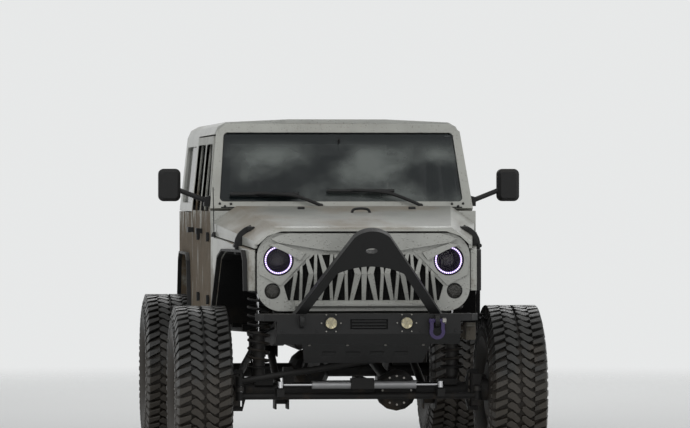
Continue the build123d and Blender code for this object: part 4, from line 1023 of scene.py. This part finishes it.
    def _tail(self) -> None:
        """Tail lamps: a black housing, a red lens with a clear band."""
        low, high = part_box("tail_lamps")
        near, far = self.tail_x
        inner, outer, ahead = near + 0.010, far - 0.010, high.y - 0.018
        piece = Piece("tail_lamp_units", "chassis", "red_lens")
        for corner, other, ease, skin in (
            ((near, low.y, low.z), (far, high.y - 0.014, high.z), 0.006, Coat.PLASTIC),
            ((inner, ahead, low.z + 0.070), (outer, high.y, high.z - 0.012), 0.006, Pane.RED),
            ((inner, ahead, low.z + 0.012), (outer, high.y - 0.002, low.z + 0.064), 0.005, Pane.CLEAR),
        ):
            piece.add(brick(corner, other, ease), skin, None, True)
        piece.done("tail_lamps")


@dataclass
class Nose:
    """Grille, hood, bumper and their fittings."""

    latch_y: float = -0.12
    # a latch's strap on the hood: distance from the middle, height
    strap: Outline = ((0.624, 1.448), (0.656, 1.434), (0.684, 1.411), (0.698, 1.384), (0.706, 1.346))
    jets_x: Flat = (-0.274, 0.396)
    loop_y: float = 0.31
    # the loop on the hood: distance from the middle, height
    loop: Outline = (
        (0.010, 1.534), (0.014, 1.556), (0.040, 1.564), (0.090, 1.564), (0.116, 1.556), (0.120, 1.534),
    )
    # the opening behind the teeth, closed by a near-black sheet of painted shade, and the mesh in it
    mouth: Outline = (
        (-0.300, 1.318), (0.300, 1.318), (0.486, 1.126), (0.470, 1.012), (-0.470, 1.012), (-0.486, 1.126),
    )
    mesh_y: float = -0.438
    mesh_pitch: float = 0.0155
    mesh_wire: float = 0.0016
    bumper_y: float = -0.760
    hatch_ribs_z: Sequence[float] = (0.888, 0.906, 0.924)
    plate_bolts_x: Sequence[float] = (-0.500, -0.300, 0.300, 0.500)
    shackle_pin: Point = (0.389, -0.796, 0.926)
    # the skid plate's upper and lower edges: distance behind the front axle, height
    skid_top: Flat = (-0.640, 0.796)
    skid_foot: Flat = (-0.440, 0.672)
    skid_slots_x: Sequence[float] = (-0.21, -0.07, 0.07, 0.21)
    skid_bolts_x: Sequence[float] = (-0.33, -0.11, 0.11, 0.33)

    def build(self) -> None:
        """Builds the nose."""
        softened("grille", Coat.NOSE, 0.0024, 2, radians(12))
        softened("hood", Coat.BODY, 0.007, 3)
        softened("front_fenders", Coat.BODY, 0.006, 3)
        softened("front_bumper", Coat.STEEL, 0.0045)
        softened("shackle", Coat.PURPLE, 0.004)
        self._grille_mesh()
        self._hood_fittings()
        self._bumper_fittings()
        self._skid_plate()

    def _grille_mesh(self) -> None:
        """A dark mesh behind the teeth, with a near-black sheet of painted shade behind it."""
        piece = Piece("grille_mesh", "chassis", "black_plastic")
        y = rearward(self.mesh_y)
        # a near-black sheet just behind the wires: painted shade for the dark space behind the grille
        piece.add(prism(self.mouth, 0.002), Coat.FRIT_AND_SHADE, facing_front(y + 0.006))
        # each wire ends short of the mouth's slanting sides
        for k in range(-30, 31):
            x = k * self.mesh_pitch
            top = 1.312 - max(0.0, abs(x) - 0.296) * 1.02
            piece.add(bar((x, y, 1.018), (x, y, top), self.mesh_wire, 5), Coat.PLASTIC)
        for k in range(19):
            z = 1.026 + k * self.mesh_pitch
            half = 0.468 - max(0.0, z - 1.124) * 0.92
            piece.add(bar((-half, y, z), (half, y, z), self.mesh_wire, 5), Coat.PLASTIC)
        piece.done()

    def _hood_fittings(self) -> None:
        """Side latches, washer jets and the centre loop on the hood."""
        piece = Piece("hood_latches", "hood", "black_plastic")
        y = rearward(self.latch_y)
        path = [(x, y, z) for x, z in self.strap]
        for start, end in zip(path, path[1:]):
            length = (Vector(end) - Vector(start)).length
            link = brick((-0.012, -0.023, -0.004), (0.012, 0.023, length + 0.004), 0.004)
            piece.add(link, Coat.PLASTIC, towards(start, end), True)
        clip = brick((0.606, y - 0.030, 1.432), (0.648, y + 0.030, 1.462), 0.007)
        piece.add(clip, Coat.PLASTIC, None, True)
        pull = bar((0.720, y - 0.038, 1.348), (0.720, y + 0.038, 1.348), 0.012, 16, None, 0.003)
        piece.add(pull, Coat.PLASTIC, None, True)
        for x in self.jets_x:
            jet = brick((x - 0.021, rearward(0.50), 1.552), (x + 0.021, rearward(0.535), 1.574), 0.006)
            piece.add(jet, Coat.PLASTIC)
        piece.add(wire_path([(x, rearward(self.loop_y), z) for x, z in self.loop], 0.0080), Coat.PLASTIC)
        piece.done()
        catch = Piece("latch_catches", "chassis", "black_plastic")
        hook = brick((0.690, y - 0.026, 1.296), (0.722, y + 0.026, 1.344), 0.006)
        catch.add(hook, Coat.PLASTIC, None, True).done()

    def _bumper_fittings(self) -> None:
        """The winch hatch's ribs, the plate bolts and the head of the shackle's pin."""
        face = rearward(self.bumper_y)
        piece = Piece("bumper_fittings", "chassis", "black_steel")
        for z in self.hatch_ribs_z:
            rib = brick((-0.100, face - 0.001, z - 0.004), (0.100, face + 0.029, z + 0.004), 0.002)
            piece.add(rib, Coat.STEEL)
        for x in self.plate_bolts_x:
            at = Vector((x, face, 0.868))
            piece.add(bar(at, at - Vector((0, 0.006, 0)), 0.008, 6, None, 0.001), Coat.STEEL)
        x, y, z = self.shackle_pin
        head = bar((x + 0.030, rearward(y), z), (x + 0.052, rearward(y), z), 0.017, 6, None, 0.002)
        piece.add(head, Coat.BOLT).done()

    def _skid_plate(self) -> None:
        """A folded sheet from the bumper's lower edge back under the nose, with bolts, and slots drawn as
        near-black patches of painted shade.
        """
        piece = Piece("skid_plate", "chassis", "black_steel")
        high, low = (Vector((0, rearward(y), z)) for y, z in (self.skid_top, self.skid_foot))
        length = (low - high).length
        plate = prism(((-0.375, 0.0), (0.375, 0.0), (0.345, length), (-0.345, length)), 0.004, 0.0012, 1)
        stand = Matrix.Translation(high) @ Matrix.Rotation(-atan2(high.z - low.z, low.y - high.y), 4, "X")
        piece.add(plate, Coat.STEEL, stand)
        # each slot is a thin near-black patch on the sheet: painted shade where an open slot would show
        for x in self.skid_slots_x:
            slot = brick((x - 0.040, length * 0.45, -0.003), (x + 0.040, length * 0.62, 0.0), 0.002)
            piece.add(slot, Coat.FRIT_AND_SHADE, stand)
        for x in self.skid_bolts_x:
            piece.add(bar((x, 0.022, -0.005), (x, 0.022, 0.0), 0.009, 6, None, 0.001), Coat.BOLT, stand)
        piece.done()


# Body -------------------------------------------------------------------------------------------


@dataclass
class Screen:
    """Windshield frame, glass with its black border, wipers, inner mirror, aerial and hinge bolts."""

    foot_y: float = 0.800
    foot_z: float = 1.580
    rake: float = atan2(0.200, 0.425)
    # in the screen's plane: distance from the middle, distance up the glass
    opening: Outline = ((-0.742, 0.028), (0.742, 0.028), (0.702, 0.492), (-0.702, 0.492))
    bolts: Outline = ((0.674, 0.010), (0.711, -0.006), (0.742, 0.012))
    # each wiper: pivot x, elbow x, elbow height, blade's tip x, blade's root x, blade's height
    wipers: Sequence[Sequence[float]] = (
        (-0.129, -0.330, 0.062, -0.680, -0.360, 0.070), (0.480, 0.250, 0.082, -0.090, 0.225, 0.092),
    )
    mirror_y: float = 1.02
    # the aerial's foot: x, distance behind the front axle, height
    mast: Point = (-0.792, 0.60, 1.392)

    def plane(self, lift: float) -> Matrix:
        """The screen's outer plane, moved forwards by a lift: X across, Y up the glass, Z out."""
        out = Vector((0, -cos(self.rake), sin(self.rake)))
        base = Matrix.Translation((0, rearward(self.foot_y), self.foot_z))
        return Matrix.Translation(out * lift) @ base @ Matrix.Rotation(pi / 2 - self.rake, 4, "X")

    def build(self) -> None:
        """Builds the screen."""
        softened("windshield_frame", Coat.BODY, 0.007, 3)
        painted("windshield_glass", Pane.SCREEN)
        inner = [(x * 0.997, 0.030 + (y - 0.028) * 0.992) for x, y in self.opening]
        border = Piece("screen_border", "chassis", "black_plastic")
        border.add(hoop(inner, 0.026, 0.0012), Coat.FRIT_AND_SHADE, self.plane(-0.0138))
        border.add(hoop(inner, 0.008, 0.008), Coat.SEAL, self.plane(-0.0125)).done()
        self._wipers()
        self._fittings()

    def _wipers(self) -> None:
        """Two wipers, each a pivot, a bent arm and a blade."""
        piece = Piece("wipers", "chassis", "black_plastic")
        plane = self.plane(0.0)
        for pivot, elbow, elbow_h, tip, root, blade_h in self.wipers:
            foot = bar((pivot, -0.014, 0.004), (pivot, -0.014, 0.034), 0.017, 20, 0.013, 0.003)
            piece.add(foot, Coat.PLASTIC, plane)
            arm = [
                (pivot, -0.014, 0.030), ((pivot + elbow) / 2, (elbow_h - 0.014) / 2 + 0.006, 0.038),
                (elbow, elbow_h, 0.030), ((tip + root) / 2, blade_h, 0.022),
            ]
            piece.add(wire_path(arm, 0.0105), Coat.PLASTIC, plane)
            end = root + 0.10
            back = brick((tip, blade_h - 0.009, 0.004), (end, blade_h + 0.009, 0.022), 0.004)
            piece.add(back, Coat.PLASTIC, plane)
            edge = brick((tip, blade_h - 0.0015, -0.0075), (end, blade_h + 0.0015, 0.006))
            piece.add(edge, Coat.SEAL, plane)
        piece.done()

    def _fittings(self) -> None:
        """Hinge bolts at the frame's feet, the seam under it, the inner mirror and the aerial."""
        piece = Piece("screen_fittings", "chassis", "black_plastic")
        plane = self.plane(0.0)
        for x, up in self.bolts:
            head = bar((x, up, -0.001), (x, up, 0.007), 0.0085, 12, 0.0065, 0.001)
            piece.add(head, Coat.STEEL, plane, True)
        piece.add(brick((-0.735, -0.017, -0.004), (0.735, -0.009, 0.0015), 0.0005), Coat.SEAL, plane)
        at = rearward(self.mirror_y)
        mirror = brick((-0.11, 0.0, -0.012), (0.11, 0.062, 0.012), 0.009)
        piece.add(mirror, Coat.PLASTIC, Matrix.Translation((0.0, at, 1.868)))
        piece.add(bar((0.0, at, 1.915), (0.0, at - 0.035, 1.985), 0.007, 12), Coat.PLASTIC)
        x, y, z = self.mast[0], rearward(self.mast[1]), self.mast[2]
        foot = turned([(0.0, 0.0), (0.018, 0.0), (0.016, 0.014), (0.007, 0.030), (0.0, 0.030)], 20)
        piece.add(foot, Coat.PLASTIC, Matrix.Translation((x, y, z)))
        piece.add(bar((x, y, z + 0.02), (x - 0.004, y + 0.02, 1.690), 0.0030, 8), Coat.PLASTIC)
        piece.done()


@dataclass
class Shell:
    """Tub, doors, hard top, tailgate and what is fastened to them."""

    side_x: float = 0.805
    # how far out the side goes for each metre up
    lean: float = (0.757 - 0.805) / 0.480
    belt_z: float = 1.520
    # how far behind the front axle the cowl ends
    cowl_y: float = 1.04
    tail_y: float = 3.600
    tail_rake: float = atan2(0.110, 0.680)
    # one half of the tail header: distance from the middle, distance up the leaning tail
    header: Outline = (
        (0.578, 0.3444), (0.765, 0.3444), (0.751, 0.4862), (0.730, 0.5450), (0.684, 0.5703), (0.300, 0.5875),
    )
    header_low: Flat = (0.570, 0.4660)
    rear_pane: Outline = ((-0.594, 0.0), (0.594, 0.0), (0.566, 0.444), (-0.566, 0.444))
    # each side window: door, and its corners as distance behind the front axle, height
    windows: Sequence[tuple[str, Outline]] = (
        ("front", ((0.936, 1.545), (1.580, 1.545), (1.580, 1.955), (1.128, 1.955))),
        ("rear", ((1.700, 1.545), (2.340, 1.545), (2.340, 1.955), (1.700, 1.955))),
    )
    corner_r: float = 0.031
    mirror_y: float = 0.991

    def build(self) -> None:
        """Builds the body's shell."""
        cowl = rearward(self.cowl_y)
        softened("tub", Coat.DOORS, 0.005, trim=(Coat.BODY, lambda at: at.y < cowl))
        softened("hard_top", Coat.TOP, 0.012, 3)
        softened("tailgate", Coat.DOORS, 0.006)
        softened("flares", Coat.PLASTIC, 0.004)
        softened("arch_liners", Coat.LINER, 0.0015, 1)
        softened("rear_bumper", Coat.STEEL, 0.007)
        skin = self.side_x + 0.001
        handles = (Coat.PLASTIC, lambda at: abs(at.x) > skin)
        for place in CORNERS:
            softened(f"door_{place}", Coat.DOORS, 0.0045, trim=handles)
            painted(f"glass_{place}", Pane.SIDE)
        painted("top_glass", Pane.SIDE)
        painted("rear_glass", Pane.SIDE)
        self._mirrors()
        self._seals()
        self._tail()

    def _mirrors(self) -> None:
        """Mirror cases, their arms, and the silvered faces at their backs."""
        y = rearward(self.mirror_y)
        for side, name in ((1, "left"), (-1, "right")):
            softened(f"mirror_{name}", Coat.PLASTIC, 0.004)
            near, far = sorted((side * 0.982, side * 1.094))
            face = brick((near, y - 0.001, 1.616), (far, y + 0.0015, 1.792), 0.0006)
            piece = Piece(f"mirror_face_{name}", f"door_front_{name}", "window_glass")
            piece.add(face, Lamp.BACK_MIRROR).done()

    def _tail(self) -> None:
        """The header and upper corners round the rear glass, and the glass's black border."""
        upright = Matrix.Rotation(pi / 2 + self.tail_rake, 4, "X")
        twin = [(-x, up) for x, up in reversed((self.header_low, *self.header))]
        stand = Matrix.Translation((0, rearward(self.tail_y - 0.001), self.belt_z)) @ upright
        header = Piece("tail_header", "chassis", "top_paint")
        header.add(prism([*self.header, *twin, self.header_low], 0.026, 0.003), Coat.TOP, stand).done()
        border = Piece("rear_glass_border", "chassis", "black_plastic")
        glass = Matrix.Translation((0, rearward(self.tail_y - 0.005), self.belt_z + 0.014)) @ upright
        band = hoop(self.rear_pane, 0.024, 0.0012)
        border.add(band, Coat.FRIT_AND_SHADE, glass @ Matrix.Translation((0, 0, -0.0014)))
        for x in (-0.33, 0.33):
            hinge = brick((x - 0.035, 0.405, -0.008), (x + 0.035, 0.440, -0.001), 0.003)
            border.add(hinge, Coat.PLASTIC, glass)
        border.done()

    def _leaning(self, side: int) -> Matrix:
        """Stands an outline of (rearward, height) points on the body's leaning side, raised outwards."""
        foot = self.side_x - self.lean * self.belt_z
        shear = Matrix(((0, self.lean, 1, foot), (1, 0, 0, 0), (0, 1, 0, 0), (0, 0, 0, 1)))
        return shear if side > 0 else TWIN @ shear

    def _seals(self) -> None:
        """Black seals round each side window."""
        for where, outline in self.windows:
            grown = self._rounded([(rearward(y), z) for y, z in outline], self.corner_r)
            for side, name in ((1, "left"), (-1, "right")):
                piece = Piece(f"window_seal_{where}_{name}", f"door_{where}_{name}", "black_plastic")
                band = hoop(grown, 0.011, 0.018)
                bmesh.ops.translate(band, verts=band.verts, vec=(0, 0, -0.017))
                piece.add(band, Coat.SEAL, self._leaning(side))
                bmesh.ops.recalc_face_normals(piece.mesh, faces=piece.mesh.faces)
                piece.done()

    @staticmethod
    def _rounded(outline: Outline, radius: float, steps: int = 4) -> list[Flat]:
        """The outline with round corners."""
        result: list[Flat] = []
        for k, point in enumerate(outline):
            corner = Vector(point)
            before = (Vector(outline[k - 1]) - corner).normalized()
            after = (Vector(outline[(k + 1) % len(outline)]) - corner).normalized()
            half = before.angle(after) / 2
            centre = corner + (before + after).normalized() * (radius / sin(half))
            reach = radius / (sin(half) / cos(half))
            start, end = (corner + way * reach - centre for way in (before, after))
            for n in range(steps + 1):
                result.append(tuple(centre + start.slerp(end, n / steps).normalized() * radius))
        return result


@dataclass
class Cabin:
    """What shows through the glass: dashboard, seats, steering wheel and cage."""

    # middle x, front edge behind the front axle, width, places across
    seats: Sequence[tuple[float, float, float, int]] = (
        (0.370, 1.230, 0.480, 1), (-0.370, 1.230, 0.480, 1), (0.0, 2.040, 1.150, 2),
    )
    # how far behind a seat's front edge each pad stands, its height, and how far it leans
    back_at: tuple[float, float, float] = (0.430, 1.165, radians(77))
    rest_at: tuple[float, float, float] = (0.577, 1.776, radians(86))
    cushion_z: float = 1.072
    hub: Point = (0.370, 1.110, 1.440)
    wheel_r: float = 0.175
    # stuffing: edge of one cell, how far pads start inside their box, pressure, frames,
    # the most that a point may move, and how deep the stitches pull
    cell: float = 0.007
    slack: float = 0.012
    pressure: float = 4.0
    frames: int = 20
    most: float = 0.024
    stitch: float = 0.009

    def build(self) -> None:
        """Builds the cabin."""
        softened("dashboard", Coat.TRIM, 0.012, 3)
        painted("roll_cage", Coat.STEEL)
        self._seats()
        self._wheel()

    def _holder(self, low: Point, high: Point) -> bpy.types.Object:
        """One pad before it is stuffed: an even net of cells inside a box, ready to be blown up."""
        rim = Vector((self.slack,) * 3)
        shape = brick(Vector(low) + rim, Vector(high) - rim, 0.020)
        data = bpy.data.meshes.new("pad")
        shape.to_mesh(data)
        shape.free()
        holder = placed("pad", data)
        even = holder.modifiers.new("even", "REMESH")
        even.mode, even.voxel_size = "VOXEL", self.cell
        now = bpy.context.evaluated_depsgraph_get()
        holder.data = bpy.data.meshes.new_from_object(holder.evaluated_get(now))
        holder.modifiers.clear()
        air = holder.modifiers.new("air", "CLOTH").settings
        air.quality, air.use_pressure, air.uniform_pressure_force = 4, True, self.pressure
        air.effector_weights.gravity = 0.0
        return holder

    def _stuffed(self, boxes: Sequence[tuple[Point, Point, int]]) -> list[BMesh]:
        """Blows boxes up into stuffed pads by a short cloth simulation, then sews channels across them.

        Args:
            boxes: low corner, high corner and number of channels of each pad.

        Returns:
            The pads, in the same order.
        """
        scene = bpy.context.scene
        holders = [self._holder(low, high) for low, high, _ in boxes]
        for number in range(1, self.frames + 1):
            scene.frame_set(number)
        now = bpy.context.evaluated_depsgraph_get()
        pads = []
        for holder, (low, high, channels) in zip(holders, boxes):
            shape = bmesh.new()
            shape.from_mesh(bpy.data.meshes.new_from_object(holder.evaluated_get(now)))
            for vert, start in zip(shape.verts, holder.data.vertices):
                move = vert.co - start.co
                if move.length > self.most:
                    vert.co = start.co + move * (self.most / move.length)
                along = (vert.co.y - low[1]) / (high[1] - low[1])
                height = min(max((vert.co.z - low[2]) / (high[2] - low[2]), 0.0), 1.0)
                beat = abs((along * channels) % 1.0 - 0.5) * 2 if channels else 0.0
                vert.co.z -= self.stitch * max(0.0, beat - 0.80) / 0.20 * height
            pads.append(shape)
        for holder in holders:
            bpy.data.objects.remove(holder)
        scene.frame_set(1)
        return pads

    def _seats(self) -> None:
        """Cushions, raked backs and head restraints."""
        spans = sorted({round(width / places, 3) for _, _, width, places in self.seats})
        boxes = [((-0.120, -0.062, -0.088), (0.120, 0.062, -0.002), 0)]
        for span in spans:
            half = span / 2 - 0.006
            boxes += [
                ((-half, 0.005, 0.0), (half, 0.500, 0.100), 5),
                ((-half, -0.010, -0.105), (half, 0.560, 0.0), 6),
            ]
        rest, *pads = self._stuffed(boxes)
        for number, (x, front, width, places) in enumerate(self.seats):
            y = rearward(front)
            piece = Piece(f"seat_pads_{number}", "chassis", "seat_cloth")
            span = width / places
            cushion, back = pads[2 * spans.index(round(span, 3)):][:2]
            for k in range(places):
                at = x - width / 2 + span * (k + 0.5)
                piece.add(cushion.copy(), Coat.CLOTH, Matrix.Translation((at, y, self.cushion_z)))
                for pad, (behind, z, rake) in ((back, self.back_at), (rest, self.rest_at)):
                    place = Matrix.Translation((at, y + behind, z)) @ Matrix.Rotation(rake, 4, "X")
                    piece.add(pad.copy(), Coat.CLOTH, place)
                for post in (at - 0.05, at + 0.05):
                    rod = bar((post, y + 0.600, 1.680), (post, y + 0.612, 1.740), 0.006, 10)
                    piece.add(rod, Coat.CHROME)
            depth = 0.420 if places == 1 else 0.160
            low = (x - width / 2 + 0.060, y + 0.040, 0.901)
            piece.add(brick(low, (x + width / 2 - 0.060, y + 0.040 + depth, 1.080), 0.008), Coat.TRIM)
            seat = piece.done(*(("seats",) if number == 0 else ()))

    def _wheel(self) -> None:
        """Steering wheel: padded rim, three spokes and a hub."""
        piece = Piece("steering_wheel_rim", "steering_wheel", "dark_trim")
        hub = Vector((self.hub[0], rearward(self.hub[1]), self.hub[2]))
        place = towards(hub, hub + Vector((0, 1, 0.45)).normalized()) @ Matrix.Translation((0, 0, 0.013))
        piece.add(ring(self.wheel_r, 0.0125, 56, 10), Coat.TRIM, place)
        pad = [(0.0, 0.012), (0.040, 0.010), (0.056, 0.0), (0.056, -0.012), (0.0, -0.012)]
        piece.add(turned(pad, 32), Coat.TRIM, place)
        for angle in (0.0, pi, pi * 1.5):
            end = Vector((cos(angle), sin(angle), 0.0)) * (self.wheel_r - 0.005)
            piece.add(bar(end * 0.28, end, 0.013, 10, 0.009), Coat.TRIM, place)
        piece.done("steering_wheel")


# Studio -----------------------------------------------------------------------------------------


@dataclass
class Studio:
    """Pale floor, soft light and the photograph's camera."""

    # how far from the middle the floor starts to fade into the backdrop, and where it has gone
    floor_r: Flat = (6.0, 15.0)
    floor_colours: tuple[Point, Point] = ((0.80, 0.80, 0.79), (0.76, 0.76, 0.75))
    # colour and strength of what lights the vehicle, and of what the camera and gloss see
    sky: tuple[Sequence[float], float] = ((0.95, 0.98, 1.0, 1.0), 0.42)
    backdrop: tuple[Sequence[float], float] = ((0.80, 0.81, 0.81, 1.0), 1.0)
    # each lamp: name, place, width, power
    lamps: Sequence[tuple[str, Point, float, float]] = (
        ("key", (-5.0, -9.0, 9.0), 9.0, 560.0), ("fill", (8.0, -7.0, 5.0), 8.0, 230.0),
        ("back", (2.0, 10.0, 8.0), 8.0, 330.0), ("low_front", (0.0, -12.0, 1.6), 6.0, 90.0),
    )
    focal: float = 4580.0
    width: float = 690.0
    sensor: float = 36.0
    stand: Point = (-2.780, -26.857, 1.704)
    yaw: float = radians(5.78)
    pitch: float = atan2(29.0, 4580.0)

    def build(self) -> None:
        """Builds the studio."""
        self._floor()
        self._world()
        self._lights()
        self._camera()
        bpy.context.scene.view_settings.view_transform = "Standard"

    def _floor(self) -> None:
        """A wide pale floor that fades into the backdrop."""
        shape = bmesh.new()
        bmesh.ops.create_circle(shape, cap_ends=True, segments=96, radius=70.0)
        data = bpy.data.meshes.new("floor")
        shape.to_mesh(data)
        shape.free()
        floor = placed("floor", data)
        graph = Graph("floor")
        graph.settle(Base_Color=graph.blend(graph.noise(0.5, 3.0) * 0.3, *self.floor_colours), Roughness=0.9)
        x, y, _ = graph.axes(graph.place)
        start, end = self.floor_r
        graph.settle(Alpha=1.0 - (x * x + y * y).between(start**2, end**2))
        data.materials.append(graph.material)

    def _world(self) -> None:
        """Even light, and a pale backdrop to camera, gloss and glass."""
        world = bpy.data.worlds.new("studio")
        world.use_nodes = True
        tree = world.node_tree
        tree.nodes.clear()
        rays = tree.nodes.new("ShaderNodeLightPath")
        mix, out = tree.nodes.new("ShaderNodeMixShader"), tree.nodes.new("ShaderNodeOutputWorld")
        for number, (colour, strength) in enumerate((self.sky, self.backdrop), 1):
            light = tree.nodes.new("ShaderNodeBackground")
            light.inputs[0].default_value, light.inputs[1].default_value = colour, strength
            tree.links.new(light.outputs[0], mix.inputs[number])
        seen = rays.outputs["Is Camera Ray"]
        for other in ("Is Glossy Ray", "Is Transmission Ray"):
            either = tree.nodes.new("ShaderNodeMath")
            either.operation = "MAXIMUM"
            tree.links.new(seen, either.inputs[0])
            tree.links.new(rays.outputs[other], either.inputs[1])
            seen = either.outputs[0]
        tree.links.new(seen, mix.inputs[0])
        tree.links.new(mix.outputs[0], out.inputs[0])
        bpy.context.scene.world = world

    def _lights(self) -> None:
        """A broad key from above the front and softer fills."""
        for name, at, size, power in self.lamps:
            lamp = bpy.data.lights.new(name, "AREA")
            lamp.shape, lamp.size, lamp.energy = "DISK", size, power
            holder = placed(name, lamp)
            holder.location = at
            holder.rotation_euler = (Vector((0, 0, 1.0)) - Vector(at)).to_track_quat("-Z", "Y").to_euler()
            holder.visible_camera = False

    def _camera(self) -> None:
        """The long lens ahead of the vehicle, a little to its right."""
        data = bpy.data.cameras.new("camera")
        data.sensor_width = self.sensor
        data.lens = self.focal * self.sensor / self.width
        data.clip_end = 300.0
        holder = placed("camera", data)
        x, y, z = self.stand
        holder.location = (x, rearward(y), z)
        holder.rotation_euler = (pi / 2 - self.pitch, 0.0, -self.yaw)
        bpy.context.scene.camera = holder


def main() -> None:
    """Builds the vehicle and its studio, in order."""
    logging.basicConfig(level=logging.INFO, format="%(name)s: %(message)s")
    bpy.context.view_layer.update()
    for part in (Cabin(), Wheels(), Springs(), Underside(), Lamps(), Nose(), Screen(), Shell(), Studio()):
        part.build()


if __name__ == "__main__":
    main()
